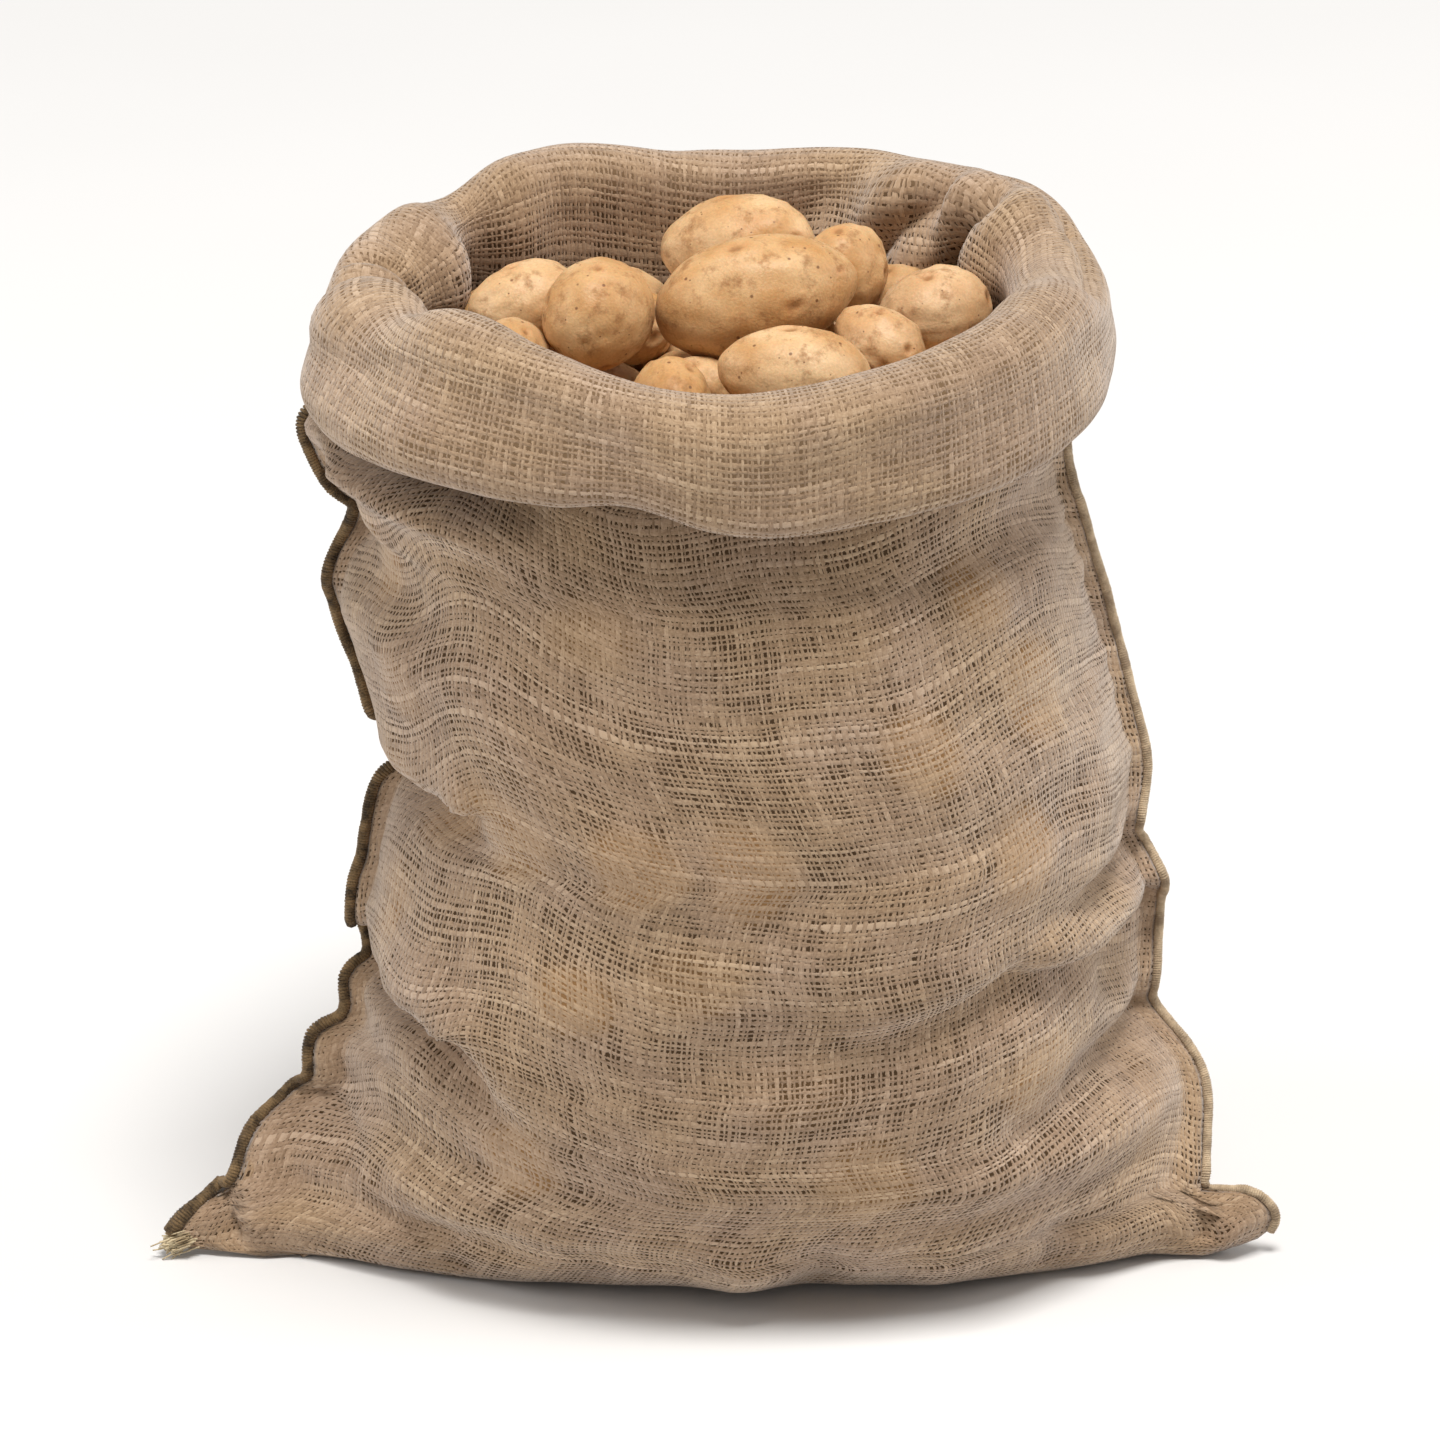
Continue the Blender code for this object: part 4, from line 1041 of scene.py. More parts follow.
    def _oval(self, level: Level, around: Array) -> Array:
        """Makes the mouth's open oval section.

        Args:
            level: the outline at its height.
            around: the places to read.

        Returns:
            The section's points.
        """
        front, part = self._part(around)
        angle = math.pi * part / self.parts
        across = 0.5 - 0.5 * self._signed_power(np.cos(angle), self.mouth_squareness)
        x = level.left_x + (level.right_x - level.left_x) * across
        seam_y = self._seam_line(level, x)
        full = np.where(front, level.front, level.back) - seam_y
        y = seam_y + full * np.maximum(0.0, np.sin(angle)) ** self.mouth_fullness
        return np.stack([x, y, np.full_like(x, level.height)], axis=1)

    def _mouth(self, around: Array) -> Array:
        """Points of the section that the roll hangs on."""
        return self._oval(MOUTH, around)

    def _even_places(self, outline: Callable[[Array], Array]) -> Array:
        """Finds the places that part an outline's front and its back in equal lengths.

        Args:
            outline: gives the points at places around it.

        Returns:
            One place for each column.
        """
        share = np.linspace(0.0, 1.0, self.columns // 2 + 1)
        found = []
        for start in (0.0, 1.0):
            dense = np.linspace(start, 0.5, self.samples)
            run = length_along(outline(dense))
            found.append(np.interp(share * run[-1], run, dense))
        return np.concatenate([found[0][:-1], found[1][:0:-1]])

    def _wall_row(self, height: float) -> tuple[Array, Array]:
        """Makes one row of the wall, with its creases, pleats and bulges.

        Args:
            height: the row's.

        Returns:
            Its points, and its columns' places around the sack.
        """
        level = self._level(height)
        dents = self._dents(level)
        opening = smoothstep(self.rounding_from, self.wall_top, height)

        def outline(around: Array) -> Array:
            """The section there, from the belly's to the mouth's."""
            belly, oval = self._belly(level, around, dents), self._oval(level, around)
            return belly + (oval - belly) * opening

        places = self._even_places(outline)
        points = outline(places)
        out = self._outward(outline, places)
        front, part = self._part(places)
        from_edge = np.minimum(part, self.parts - part)
        low = smoothstep(*self.crease_span[:2], height)
        high = 1.0 - smoothstep(*self.crease_span[2:], height)
        bump = self.bump_height * high * noise_at(points, self.bump_size, np.array(self.bump_seed))
        belly = smoothstep(self.flat_parts, self.flat_parts + self.belly_parts, from_edge)[:, None]
        pressed, slid = self._crease(points, Face.FRONT)
        behind, aside = self._crease(points, Face.BACK)
        # Beside a seam the two layers move as one. Past that, each face has its own creases.
        back = np.array([0.0, 1.0, 0.0])
        flat_move = back * pressed[:, None] + self.flat_slide * slid
        own = np.where(front[:, None], out * -pressed[:, None] + slid, out * -behind[:, None] + aside)
        near = (1.0 - smoothstep(*self.tuck_parts, from_edge)) * (part < self.parts / 2)
        points = points + np.array(self.seam_tuck) * (plateau(self.tuck_span, height) * near)[:, None]
        moved = flat_move + (own - flat_move) * belly + out * bump[:, None] * belly
        shown = low * (self.crease_rest + (1.0 - self.crease_rest) * high)
        points = points + moved * shown - out * self._pleat(places, height)[:, None]
        notch = plateau(self.notch_reach, points[:, 0]) * plateau(self.notch_span, height)
        points[:, 2] -= self.ear_notch * notch
        return points, places

    @staticmethod
    def _outward(outline: Callable[[Array], Array], places: Array) -> Array:
        """Finds the horizontal directions that point out of an outline.

        Args:
            outline: gives the points at places around it.
            places: where to find them.

        Returns:
            The directions.
        """
        step = 0.004
        edge = outline((places + step) % 1.0) - outline((places - step) % 1.0)
        return unit(np.stack([edge[:, 1], -edge[:, 0], np.zeros(len(edge))], axis=1))

    def _crease(self, points: Array, face: Face) -> tuple[Array, Array]:
        """Lays one face's creases.

        Args:
            points: the wall's.
            face: the face.

        Returns:
            How far they press each point in, and how far the full cloth beside them slides over it.
        """
        pressed, slid = np.zeros(len(points)), np.zeros((len(points), 3))
        (end_from, end_to, rest), (slack, steep) = self.crease_end, self.crease_edges
        for crease in CREASES[face]:
            start = np.array([crease.x0, crease.z0])
            run = np.array([crease.x1, crease.z1]) - start
            here = points[:, [0, 2]] - start
            share = np.clip(here @ run / (run @ run), 0.0, 1.0)
            across = np.array([run[1], -run[0]]) / np.linalg.norm(run) * np.sign(crease.lean)
            full = smoothstep(-0.5, 0.5, here @ -across / crease.width)
            lean = abs(crease.lean)
            away = np.linalg.norm(here - share[:, None] * run, axis=1) / crease.width
            near = away / (1.0 + slack * lean - steep * lean * full)
            shallow = smoothstep(end_from, end_to, share) if lean < 1.0 else 0.0
            depth = crease.depth * (rest + (1.0 - rest) * (1.0 - shallow))
            brow, hang = (
                full * np.exp(-(((away - place) / width) ** 2)) * height * lean
                for place, width, height in (self.brow, self.hang)
            )
            pressed += depth * (np.exp(-near * near) - brow)
            slid += (hang * depth)[:, None] * np.array([across[0], 0.0, across[1]])
        return pressed, slid

    def _pleat(self, places: Array, height: Array) -> Array:
        """How far the mouth's tucked folds press the wall in."""
        depth = sum(p.depth * np.exp(-((way_round(places, p.around) / p.width) ** 2)) for p in PLEATS)
        return depth * smoothstep(*self.pleats_from, height)

    def _underside(self, edge: Array) -> Array:
        """Makes the underside, from the bottom fold to the edge of the patch that rests on the floor.

        Args:
            edge: the points of that edge.

        Returns:
            Its rows.
        """
        share = np.arange(self.columns // 2) / (self.columns // 2)
        level = LEVELS[0]
        x = level.left_x + (level.right_x - level.left_x) * np.concatenate([share, 1.0 - share])
        fold = np.stack([x, self._seam_line(level, x), np.zeros_like(x)], axis=1)
        steps = np.arange(self.underside_rows)[:, None, None] / self.underside_rows
        return fold + (edge - fold) * steps

    def _roll(self, places: Array, below: Array, wall: Array) -> tuple[Array, list[int]]:
        """Makes the rolled mouth.

        Args:
            places: its columns' places around the sack.
            below: the last row but one of the wall.
            wall: the last row of the wall.

        Returns:
            Its rows from the top of the wall to the hem, and the steps between its control rows.
        """
        roll = Roll(places, *between_rows(ROLLS, places, 1.0))
        out = self._outward(self._mouth, places)
        outside = self._mouth(places) + out * roll.swell[:, None]
        centre, curl = roll.crest - roll.radius, roll.lower_edge + self.curl_radius
        # The profile's points, each as far in from the outside and as high as this.
        profile = [(2.0 * roll.radius, centre - self.shoulder)]
        for angle in np.radians(self.crest_angles):
            across, up = roll.radius * math.cos(angle), roll.radius * math.sin(angle)
            profile.append((roll.radius - across, centre + up))
        for share, flare in self.flare_rows:
            profile.append((-flare * roll.flare, centre + (curl - centre) * share))
        for angle in np.radians(self.curl_angles):
            reach = self.curl_radius * (1.0 - math.cos(angle))
            profile.append((reach - roll.flare, curl + self.curl_radius * math.sin(angle)))
        profile.append((2.0 * self.curl_radius - roll.flare, curl + self.hem_length))
        rows = [below, wall]
        for index, (inset, height) in enumerate(profile):
            tucked = self._pleat(places, height) * max(0.0, 1.0 - index / self.tucked_rows)
            point = outside - out * (inset + tucked)[:, None]
            rows.append(np.stack([point[:, 0], point[:, 1], height], axis=1))
        rows = np.array(rows)
        lengths = np.linalg.norm(np.diff(rows, axis=0), axis=2).mean(axis=1)[1:]
        counts = [max(2, round(length / self.roll_step)) for length in lengths]
        return smooth_rows(rows, counts), counts


@dataclass
class Relief:
    """The fine relief that is laid on the sack's form.

    It has folds over the roll, puckers beside the seams, potatoes that press through, and the small
    unevenness of slack cloth.
    """

    form: SackForm
    flat_width: float = 1.0  # around the flat cloth
    flat_height: float = 0.70  # from the bottom fold to the hem
    girth: float = 0.90
    roll_from: tuple = (-0.030, -0.018)  # over the crest, where the cloth turns its inside out
    up_smoothing: int = 60
    bulge_spacing: float = 0.058
    bulge_reach: float = 0.031
    bulge_rise: float = 0.0028
    bulge_jitter: float = 0.22  # of the spacing
    bulge_sizes: tuple = (0.8, 1.25)  # of the reach
    bulge_strengths: tuple = (0.45, 1.0)  # of the rise
    bulge_from: tuple = (0.020, 0.060)  # distances from a seam
    bulge_cap: float = 1.5  # the power that rounds a bulge's foot
    press_cap: tuple = (0.30, 0.75)  # the part of a bulge where the potato's skin comes to show
    press_from: tuple = (0.45, 0.75)  # and the force
    bulge_band: tuple = (0.020, 0.350)  # heights
    bulge_span: tuple = (0.010, 0.045, 0.335, 0.365)
    pucker_reach: float = 0.026
    pucker_rise: float = 0.00448
    pucker_pitch: float = 0.0125
    pucker_slant: tuple = (0.35, 0.30)  # how far they climb, and how slowly they change, away from the seam
    pucker_from: float = 0.007
    pucker_seeds: tuple = (1.3, 8.9)  # the left seam's and the right one's
    slack_rise: float = 0.0009
    slack_swells: tuple = ((0.0456, 5.2, 1.3), (0.024, 2.7, 0.8))  # the size, seed and share of each
    seed: int = 11

    def __post_init__(self) -> None:
        """Works out the cloth's own coordinates, then lays the relief on the form."""
        points = self.form.points
        run = length_along(points)
        self.up = run / run[-1] * self.flat_height
        for _ in range(self.up_smoothing):
            self.up = (np.roll(self.up, 1, axis=1) + 2.0 * self.up + np.roll(self.up, -1, axis=1)) / 4.0
        self.over = run - run[self.form.crest_row]
        self.across = np.arange(points.shape[1]) / points.shape[1]
        self.doubled = smoothstep(*self.roll_from, self.over)
        bulge, press = self._bulges()
        height = (bulge + self._puckers()) * (1.0 - self.doubled) - self._folds()
        height += self._slackness() * np.where(self.doubled > 0.5, -1.0, 1.0)
        self.press = press * (1.0 - self.doubled)
        along_row = np.roll(points, -1, axis=1) - np.roll(points, 1, axis=1)
        out = unit(np.cross(along_row, np.gradient(points, axis=0)))
        self.points = points + out * height[..., None]
        self.points[..., 2] = np.maximum(self.points[..., 2], 0.0)
        self.points[: self.form.underside_rows + 1, :, 2] = 0.0

    def _bulges(self) -> tuple[Array, Array]:
        """Presses the potatoes inside against the cloth.

        Returns:
            How far they push it out, and how hard they press on it.
        """
        rng = np.random.default_rng(self.seed)
        z = self.form.points[..., 2]
        rise, press = np.zeros_like(z), np.zeros_like(z)
        count = round(self.girth / self.bulge_spacing)
        for row, level in enumerate(np.arange(*self.bulge_band, self.bulge_spacing * ROW_SHARE)):
            for step in range(count):
                jitter = rng.uniform(-self.bulge_jitter, self.bulge_jitter, 2) * self.bulge_spacing
                wide, tall = self.bulge_reach * rng.uniform(*self.bulge_sizes, 2)
                strength, force = rng.uniform(*self.bulge_strengths), rng.uniform(0.0, 1.0)
                aside = way_round(self.across, (step + 0.5 * (row % 2)) / count) * self.girth + jitter[0]
                away = (aside / wide) ** 2 + ((z - level + jitter[1]) / tall) ** 2
                cap = np.maximum(0.0, 1.0 - away) ** self.bulge_cap
                rise = np.maximum(rise, cap * strength)
                shown = smoothstep(*self.press_cap, cap) * smoothstep(*self.press_from, force)
                press = np.maximum(press, shown)
        from_seam = np.minimum(np.abs(way_round(self.across, 0.0)), np.abs(self.across - 0.5)) * self.girth
        fade = smoothstep(*self.bulge_from, from_seam) * plateau(self.bulge_span, z)
        return self.bulge_rise * rise * fade, press * fade

    def _puckers(self) -> Array:
        """Runs short wrinkles in from the tight stitching of each seam.

        Returns:
            Their height.
        """
        total = np.zeros_like(self.up)
        climb, slow = self.pucker_slant
        for seed, side in zip(self.pucker_seeds, Side):
            away = np.abs(way_round(self.across, side.value[0])) * self.girth
            away = np.broadcast_to(away, self.up.shape)
            at = np.stack([self.up + away * climb, away * slow, np.full_like(away, seed)], axis=2)
            reach = smoothstep(0.0, self.pucker_from, away) * np.exp(-away / self.pucker_reach)
            total += self.pucker_rise * noise_at(at, self.pucker_pitch, seed) * reach
        return total

    def _folds(self) -> Array:
        """Lays the folds of the rolled mouth.

        Returns:
            Their height, measured up from its visible side.
        """
        total = np.zeros_like(self.up)
        for fold in FOLDS:
            run = np.array([way_round(fold.around1, fold.around0) * self.girth, fold.over1 - fold.over0])
            aside = way_round(self.form.places, fold.around0) * self.girth
            here = np.stack([aside, self.over - fold.over0], axis=2)
            share = np.clip(here @ run / (run @ run), 0.0, 1.0)
            away = np.linalg.norm(here - share[..., None] * run, axis=2) / fold.width
            total += fold.height * np.exp(-away * away)
        return total

    def _slackness(self) -> Array:
        """Small uneven swells all over the cloth."""
        points = self.form.points
        return self.slack_rise * sum(share * noise_at(points, *swell) for *swell, share in self.slack_swells)


@dataclass
class SackCloth:
    """The hessian itself: one sheet from the hem on one side, under the sack, to the hem on the other."""

    relief: Relief
    thickness: float = 0.0016
    flat: tuple = (0.50, 1.40)

    def build(self, material: Material) -> Piece:
        """Carries a flat grid of cloth to its shape and sews its sides.

        Args:
            material: the hessian.

        Returns:
            The cloth's piece.
        """
        cloth = self.relief
        points = cloth.points.copy()
        points[..., 2] = np.maximum(points[..., 2], self.thickness)
        up = np.column_stack([cloth.up, cloth.up[:, 0]])
        across = np.linspace(0.0, cloth.flat_width, up.shape[1])
        uv = np.stack([np.broadcast_to(across, up.shape), up], axis=2)
        grid = carried_grid(points, uv, press=cloth.press, doubled=cloth.doubled)
        piece = show("hessian_cloth", mesh_from("hessian_cloth", grid), material, "hessian", "sack_cloth")
        shell = piece.modifiers.new("thickness", "SOLIDIFY")
        shell.thickness = self.thickness
        shell.offset = -1.0
        shell.use_rim = True
        return piece


# ---------------------------------------------------------------------------------------------------------
# Thread.


def tube(name: str, routes: Iterable[Array], radius: float, sides: int) -> bpy.types.Mesh:
    """Makes a mesh of round threads along open routes, each closed at its ends.

    Args:
        name: the mesh's name.
        routes: the points that each thread follows, and in a fourth column the share of its radius there.
        radius: of the thread.
        sides: how finely its section is cut, from 0 for a square one.

    Returns:
        The mesh.
    """
    path = bpy.data.curves.new(name, "CURVE")
    path.dimensions = "3D"
    path.bevel_depth = radius
    path.bevel_resolution = sides
    path.use_fill_caps = True
    for route in routes:
        spline = path.splines.new("POLY")
        spline.points.add(len(route) - 1)
        spline.points.foreach_set("co", np.column_stack([route[:, :3], np.ones(len(route))]).ravel())
        spline.points.foreach_set("radius", route[:, 3] if route.shape[1] > 3 else np.ones(len(route)))
    guide = bpy.data.objects.new(name, path)
    bpy.context.scene.collection.objects.link(guide)
    mesh = bpy.data.meshes.new_from_object(guide.evaluated_get(bpy.context.evaluated_depsgraph_get()))
    bpy.data.objects.remove(guide)
    bm = bmesh.new()
    take_in(bm, mesh)
    bmesh.ops.remove_doubles(bm, verts=bm.verts, dist=1e-6)
    return mesh_from(name, bm)


@dataclass
class OverlockedEdge:
    """One sewn side: a bead of raw edge, whipped over by looped thread that bites into the cloth."""

    cloth: Relief
    side: Side
    foot: float = 0.008
    top: float = 0.392
    step: float = 0.0022  # between the points of the bead
    bead: float = 0.0014
    gap: float = 0.0002
    thread: float = 0.0008
    pitch: float = 0.00128
    steps: int = 8  # points for each turn of the thread
    bite: float = 0.0010  # how far the loops reach in over the cloth
    rise: float = 0.0017  # how far they stand off its middle
    tail: float = 0.040  # length of the edge's foot, where the thread is wound thicker
    tail_swell: float = 0.0
    tension: tuple = (0.93, 1.09)  # from turn to turn
    lump: float = 0.30  # how much the binding thickens and thins along the edge
    lump_size: float = 0.010
    lump_seed: float = 2.7
    seed: int = 5

    def _edge(self) -> Array:
        """Follows the cloth's sewn edge, from under the cuff to the bottom corner.

        Returns:
            Evenly spaced points on it.
        """
        grid, form = self.cloth.points, self.cloth.form
        column = round(self.side.value[0] * grid.shape[1])
        line = grid[form.underside_rows : form.underside_rows + form.wall_rows, column]
        line = line[(line[:, 2] >= self.foot) & (line[:, 2] <= self.top)][::-1]
        run = length_along(line)
        return resample(np.arange(0.0, run[-1], self.step), run, line)

    def build(self, material: Material, node: str) -> Piece:
        """Makes the edge's bead and its thread as one piece.

        Args:
            material: the thread.
            node: the construction's node that it replaces.

        Returns:
            The piece.
        """
        rng = np.random.default_rng(self.seed + len(self.side.name))
        line = self._edge()
        course = unit(np.gradient(line, axis=0))
        facing = np.array([self.side.value[1], 0.0, 0.0])
        away = unit(facing - course * (course @ facing)[:, None])
        through = np.cross(course, away)
        number, length = np.arange(len(line)), len(line) * self.step
        turns = int(length / self.pitch)
        swell = 1.0 + self.tail_swell * smoothstep(length - self.tail, length, number * self.step)
        at = np.linspace(0.0, len(line) - 1.0, turns * self.steps)
        phase = np.arange(len(at)) / self.steps
        tension = np.column_stack([np.arange(turns + 2), rng.uniform(*self.tension, turns + 2)])
        uneven = between_rows(tension, phase)[0]
        lumps = 1.0 + self.lump * noise_at(line, self.lump_size, self.lump_seed)
        uneven *= np.interp(at, number, swell * lumps)
        angle = phase * 2.0 * math.pi
        reach = (self.bead + self.bite) / 2.0 * uneven + self.thread
        centre = (self.bead - self.bite) / 2.0 + self.bead
        loops = (
            resample(at, number, line)
            + resample(at, number, away) * (centre + reach * np.cos(angle))[:, None]
            + resample(at, number, through) * (self.rise * uneven * np.sin(angle))[:, None]
        )
        bead = np.column_stack([line + away * (self.bead * swell + self.gap)[:, None], swell])
        name = node.replace("seam", "overlock")
        whole = bmesh.new()
        take_in(whole, tube(name + "_bead", [bead], self.bead, 2))
        take_in(whole, tube(name + "_thread", [loops], self.thread, 1))
        for vert in whole.verts:
            vert.co.z = max(vert.co.z, 0.0)
        return show(name, mesh_from(name, whole), material, "overlock_thread", node)


@dataclass
class FrayedCorner:
    """The tuft of raw yarn ends that hangs out of the left bottom corner."""

    root: tuple = (-0.2310, -0.0465, 0.0088)
    heading: tuple = (-0.94, -0.02, -0.33)
    strands: int = 240
    points: int = 6  # along each strand
    thread: float = 0.00038
    length: tuple = (0.0060, 0.0110)
    bunch: float = 0.0018
    spread: float = 0.13
    bend: float = 0.0875  # of the length
    seed: int = 23

    def build(self, material: Material) -> Piece:
        """Makes the strands as one joined piece.

        Args:
            material: the raw yarn.

        Returns:
            The piece.
        """
        rng = np.random.default_rng(self.seed)
        routes = []
        for _ in range(self.strands):
            start = np.array(self.root) + rng.normal(0.0, self.bunch, 3)
            heading = unit(np.array(self.heading) + rng.normal(0.0, self.spread, 3))
            bend = rng.normal(0.0, self.bend, 3)
            length = rng.uniform(*self.length)
            share = np.linspace(0.0, 1.0, self.points)[:, None]
            route = start + (heading * share + bend * share**2) * length
            route[:, 2] = np.maximum(route[:, 2], self.thread)
            routes.append(route)
        return show("frayed_corner", tube("frayed_corner", routes, self.thread, 0), material, "hessian")


# ---------------------------------------------------------------------------------------------------------
# Potatoes.


@dataclass
class PotatoShape:
    """A potato: an egg thicker at one end, a little dented, with sunken eyes under low brows."""

    potato: Potato
    segments: int = 84
    rings: int = 56
    eyes: int = 9
    eye_size: float = 0.0030
    eye_depth: float = 0.0010
    eye_turn: float = 2.39996  # the golden angle, in radians, by which the eyes wind along the potato
    eye_ends: tuple = (0.92, -0.83)  # the stretch that they lie on, in shares of the potato's half length
    eye_crowding: float = 1.25
    eye_wander: float = 0.4
    eye_sizes: tuple = (0.55, 1.15)  # of the usual size
    eye_slope: float = 1.6  # of its hollow's sides
    tinge_slope: float = 0.9  # and of its colour
    lump: float = 0.0007
    lump_detail: float = 3.4
    dent: float = 0.035  # of the potato's size
    dent_detail: float = 1.3
    brow: tuple = (1.35, 0.45, 4.0)  # round an eye: how far out it lies, its height, and its slope
    eye_reach: float = 3.0  # in eye sizes

    def build(self) -> BMesh:
        """Makes the potato in its place, with the attributes eye and golden.

        Returns:
            Its bmesh.
        """
        potato = self.potato
        middle = Vector((potato.x, potato.y, potato.z))
        seed = middle * 90.0
        rng = np.random.default_rng(int(abs(potato.x) * 1e5 + abs(potato.y) * 3e5) + 7)
        bm = bmesh.new()
        bmesh.ops.create_uvsphere(bm, u_segments=self.segments, v_segments=self.rings, radius=1.0)
        bmesh.ops.rotate(bm, verts=bm.verts, cent=(0, 0, 0), matrix=Matrix.Rotation(math.pi / 2, 3, "Y"))
        half = Vector((potato.length, potato.width, potato.height)) / 2.0
        eyes, (out, height, slope) = self._eye_places(rng), self.brow
        shade, golden = (bm.verts.layers.float.new(name) for name in ("eye", "golden"))
        turn = Euler((0.0, math.radians(-potato.tilt), math.radians(potato.turn))).to_matrix()
        for vert in bm.verts:
            way = vert.co.copy()
            wide = 1.0 + potato.taper * way.x
            dent = 1.0 + self.dent * noise.noise(way * self.dent_detail + seed)
            body = Vector((way.x * half.x, way.y * half.y * wide, way.z * half.z * wide)) * dent
            lump = self.lump * noise.noise(way * self.lump_detail + seed * 1.7)
            sunk, tinge = 0.0, 0.0
            for place, size in eyes:
                away = ((way - place) * half.y).length / size
                if away < self.eye_reach:
                    brow = height * math.exp(-((away - out) ** 2) * slope)
                    sunk += math.exp(-away * away * self.eye_slope) - brow
                    tinge = max(tinge, math.exp(-away * away * self.tinge_slope))
            vert[shade], vert[golden] = tinge, potato.golden
            body += way.normalized() * (lump - self.eye_depth * sunk)
            vert.co = turn @ body + middle
        return bm

    def _eye_places(self, rng: np.random.Generator) -> list[tuple[Vector, float]]:
        """Spreads the eyes, closer together towards the potato's rose end.

        Args:
            rng: the potato's own random numbers.

        Returns:
            The direction and the size of each.
        """
        found = []
        first, last = self.eye_ends
        for index in range(self.eyes):
            along = first + (last - first) * (index / self.eyes) ** self.eye_crowding
            angle = index * self.eye_turn + rng.uniform(-self.eye_wander, self.eye_wander)
            ring = math.sqrt(max(0.0, 1.0 - along * along))
            place = Vector((along, ring * math.cos(angle), ring * math.sin(angle)))
            found.append((place, self.eye_size * rng.uniform(*self.eye_sizes)))
        return found


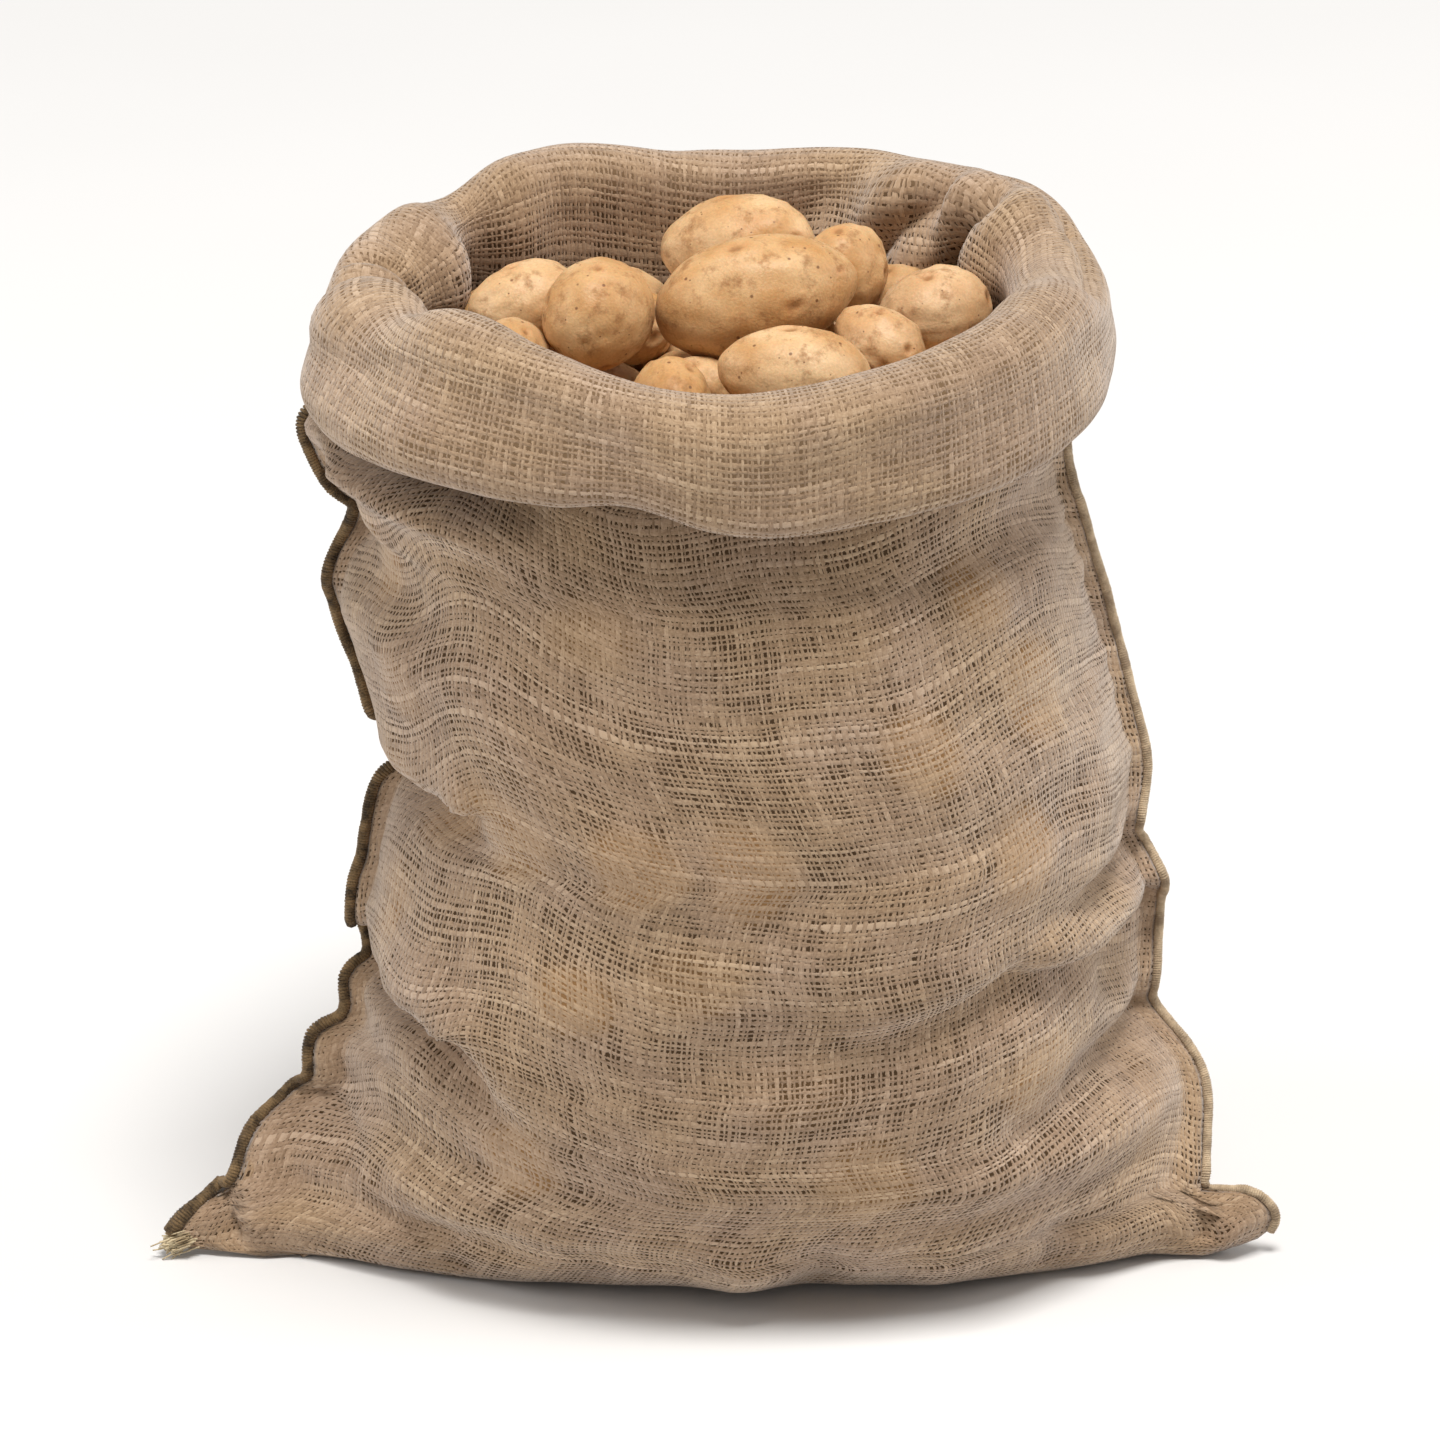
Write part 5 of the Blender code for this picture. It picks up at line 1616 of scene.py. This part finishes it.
@dataclass
class PotatoHeap:
    """The potatoes that show, each its own piece, and the pile beneath them as one."""

    cloth: Relief
    spacing: float = 0.043
    rows: int = 4  # of potatoes either way from a layer's middle, though not all find room
    layers: tuple = (0.384, 0.362)
    layer_shift: tuple = (0.25, 0.012)  # from layer to layer, in spacings along X and metres along Y
    offset: float = 0.004  # of the layers along Y
    jitter: float = 0.0025
    depths: tuple = (0.345, 0.392)  # the lower layers stay between these heights
    room: tuple = (0.116, 0.090)  # and in an oval that reaches this far along X and Y
    room_y: float = 0.003  # the oval's middle along Y
    radii: tuple = (0.0185, 0.0225)
    stretches: tuple = (1.05, 1.35)
    lower_taper: float = 0.07
    settling: int = 80
    pushing: float = 0.5  # share of an overlap that one round undoes
    lifting: float = 0.4  # share of the lower potatoes' pushes on each other that goes up or down
    packing: float = 0.97  # how close the lower potatoes settle to the shown ones
    core_inset: float = 0.0215
    core_narrowing: float = 0.93
    core_top: float = 0.360
    core_crown: float = 0.372
    core_foot: float = 0.0035
    core_min_belly: float = 0.050
    core_columns: int = 40
    core_row_step: int = 5
    core_foot_shares: tuple = (0.0, 0.5)  # of the lowest section, the rings that close the core below
    core_roof_shares: tuple = (0.6, 0.0)  # and of the highest, above
    seed: int = 4

    def build(self, material: Material) -> list[Piece]:
        """Makes the shown potatoes and the pile.

        Args:
            material: the potatoes' skin.

        Returns:
            Every piece, the pile last.
        """
        pieces = []
        for potato in POTATOES:
            name = potato.name + "_skin"
            mesh = mesh_from(name, PotatoShape(potato).build())
            pieces.append(show(name, mesh, material, "potato_skin", potato.name))
        pile = self._core()
        for potato in self._lower():
            take_in(pile, mesh_from(potato.name, PotatoShape(potato, segments=32, rings=20, eyes=5).build()))
        mesh = mesh_from("potato_pile", pile)
        return [*pieces, show("potato_pile", mesh, material, "potato_skin", "potato_heap")]

    def _lower(self) -> list[Potato]:
        """Settles the potatoes of the layers below, between each other and under the shown ones.

        Returns:
            Those potatoes.
        """
        rng = np.random.default_rng(self.seed)
        places = []
        (wide, deep), (shift_x, shift_y) = self.room, self.layer_shift
        steps = range(-self.rows, self.rows + 1)
        for layer, height in enumerate(self.layers):
            for row in steps:
                for step in steps:
                    x = (step + 0.5 * (row % 2) + shift_x * layer) * self.spacing
                    y = row * self.spacing * ROW_SHARE + shift_y * layer
                    if (x / wide) ** 2 + (y / deep) ** 2 < 1.0:
                        places.append([x, y + self.offset, height])
        centres = np.array(places) + rng.normal(0.0, self.jitter, (len(places), 3))
        radii = rng.uniform(*self.radii, len(centres))
        fixed = np.array([[p.x, p.y, p.z] for p in POTATOES])
        fixed_radii = np.array([(p.length + p.width + p.height) / 6.0 for p in POTATOES]) * self.packing
        for _ in range(self.settling):
            for others, reach, share in ((fixed, fixed_radii, 1.0), (centres.copy(), radii, 0.5)):
                gap = centres[:, None, :] - others[None, :, :]
                far = np.linalg.norm(gap, axis=2) + 1e-9
                overlap = np.maximum(0.0, radii[:, None] + reach[None, :] - far)
                overlap[far < 1e-6] = 0.0
                push = gap / far[..., None] * (overlap * share * self.pushing)[..., None]
                up = push[..., 2]
                push[..., 2] = np.minimum(up, 0.0) if share == 1.0 else up * self.lifting
                centres += push.sum(axis=1)
            inside = np.hypot(centres[:, 0] / wide, (centres[:, 1] - self.room_y) / deep)
            centres[:, :2] /= np.maximum(inside, 1.0)[:, None]
            centres[:, 2] = np.clip(centres[:, 2], *self.depths)
        turns, stretch = rng.uniform(0, 180, len(centres)), rng.uniform(*self.stretches, len(centres))
        return [
            Potato("lower", *centre, 2 * r * long, *[2 * r / long**0.5] * 2, turn, 0, self.lower_taper)
            for centre, r, long, turn in zip(centres, radii, stretch, turns)
        ]

    def _core(self) -> BMesh:
        """Makes the heap's hidden middle, a little inside the cloth and under the lower potatoes.

        Returns:
            Its closed bmesh.
        """
        grid, form = self.cloth.points, self.cloth.form
        half = grid.shape[1] // 2
        number = np.arange(half + 1)
        sections = []
        for row in grid[form.underside_rows : form.underside_rows + form.wall_rows : self.core_row_step]:
            front, back = row[: half + 1], np.concatenate([row[:1], row[: half - 1 : -1]])
            if front[0, 2] > self.core_top and front[half // 2, 2] > self.core_top:
                break
            thick = np.nonzero(back[:, 1] - front[:, 1] > self.core_min_belly)[0][[0, -1]]
            picked = np.linspace(*thick, self.core_columns // 2 + 1)
            middle_x = front[thick, 0].sum() / 2.0
            side = []
            for line, inward in ((front, self.core_inset), (back, -self.core_inset)):
                points = resample(picked, number, line)
                points[:, 0] = middle_x + (points[:, 0] - middle_x) * self.core_narrowing
                points[:, 1] += inward
                side.append(points)
            side[0][[0, -1]] = side[1][[0, -1]] = (side[0] + side[1])[[0, -1]] / 2.0
            ring = np.concatenate([side[0][:-1], side[1][:0:-1]])
            ring[:, 2] = np.maximum(ring[:, 2], self.core_foot)
            sections.append(ring)
        base, crown = sections[0].mean(axis=0), sections[-1].mean(axis=0)
        crown[2] = self.core_crown
        foot = [base + (sections[0] - base) * share for share in self.core_foot_shares]
        roof = [crown + (sections[-1] - crown) * share for share in self.core_roof_shares]
        points = np.array(foot + sections + roof)
        plain = np.zeros(points.shape[:2])
        core = carried_grid(points, eye=plain, golden=plain)
        bmesh.ops.recalc_face_normals(core, faces=core.faces)
        return core


# ---------------------------------------------------------------------------------------------------------
# The studio.

Lamp = namedtuple("Lamp", "name x y z size power colour")


@dataclass
class Studio:
    """A plain pale floor, soft lamps and the camera."""

    camera_at: tuple = (0.0, -2.90018492, 1.55237844)
    looks_at: tuple = (0.001, 0.0, 0.2355)
    lens: float = 185.5
    sensor: float = 36.0
    floor_size: float = 30.0
    sky: str = "#FFFFFF"
    sky_strength: float = 0.30
    lamps_aim: tuple = (0.0, 0.0, 0.22)
    lamps: tuple = (
        Lamp("key", 0.55, -1.50, 7.20, 2.6, 560.0, "#FFFDFA"),
        Lamp("right", 3.40, 0.30, 1.90, 2.0, 46.0, "#FFFFFF"),
        Lamp("left", -3.40, -0.50, 1.90, 2.0, 56.0, "#FFFFFF"),
    )

    def build(self) -> None:
        """Makes the floor, the sky, the lamps and the camera."""
        scene = bpy.context.scene
        scene.view_settings.view_transform = "Standard"
        bm = bmesh.new()
        bmesh.ops.create_grid(bm, x_segments=1, y_segments=1, size=self.floor_size / 2)
        mesh = mesh_from("studio_floor", bm)
        mesh.materials.append(PaperFinish().build())
        floor = bpy.data.objects.new("studio_floor", mesh)
        scene.collection.objects.link(floor)
        scene.world = bpy.data.worlds.new("studio_sky")
        scene.world.use_nodes = True
        sky = scene.world.node_tree.nodes["Background"].inputs
        sky["Color"].default_value = linear(self.sky)
        sky["Strength"].default_value = self.sky_strength
        for lamp in self.lamps:
            light = bpy.data.lights.new(lamp.name, "AREA")
            light.size, light.energy, light.color = lamp.size, lamp.power, linear(lamp.colour)[:3]
            self._aimed(light, (lamp.x, lamp.y, lamp.z), self.lamps_aim)
        camera = bpy.data.cameras.new("camera")
        camera.lens, camera.sensor_width = self.lens, self.sensor
        scene.camera = self._aimed(camera, self.camera_at, self.looks_at)

    @staticmethod
    def _aimed(data: bpy.types.ID, at: tuple, to: tuple) -> Piece:
        """Places a lamp or the camera, and turns it to look at a point.

        Args:
            data: the lamp or camera.
            at: its place.
            to: the point.

        Returns:
            Its object.
        """
        thing = bpy.data.objects.new(data.name, data)
        bpy.context.scene.collection.objects.link(thing)
        thing.location = at
        thing.rotation_euler = (Vector(to) - Vector(at)).to_track_quat("-Z", "Y").to_euler()
        return thing


def main() -> None:
    """Builds the studio and every piece of the sack."""
    logging.basicConfig(level=logging.INFO, format="%(name)s: %(message)s")
    Studio().build()
    cloth = Relief(SackForm())
    log.info("cloth grid: %d rows, %d columns", *cloth.points.shape[:2])
    PotatoHeap(cloth).build(PotatoFinish().build())
    SackCloth(cloth).build(HessianFinish().build())
    # Painted shade and painted light: one overlock thread, in a darker copy for the left seam and a lighter
    # copy for the right.
    shaded_olive, lit_straw, raw = (ThreadFinish(tone).build() for tone in ThreadTone)
    OverlockedEdge(cloth, Side.LEFT, tail_swell=0.75).build(shaded_olive, "seam_left")
    right = OverlockedEdge(cloth, Side.RIGHT, bead=0.0011, thread=0.0006, pitch=0.0010, rise=0.0014)
    right.build(lit_straw, "seam_right")
    FrayedCorner().build(raw)


if __name__ == "__main__":
    main()
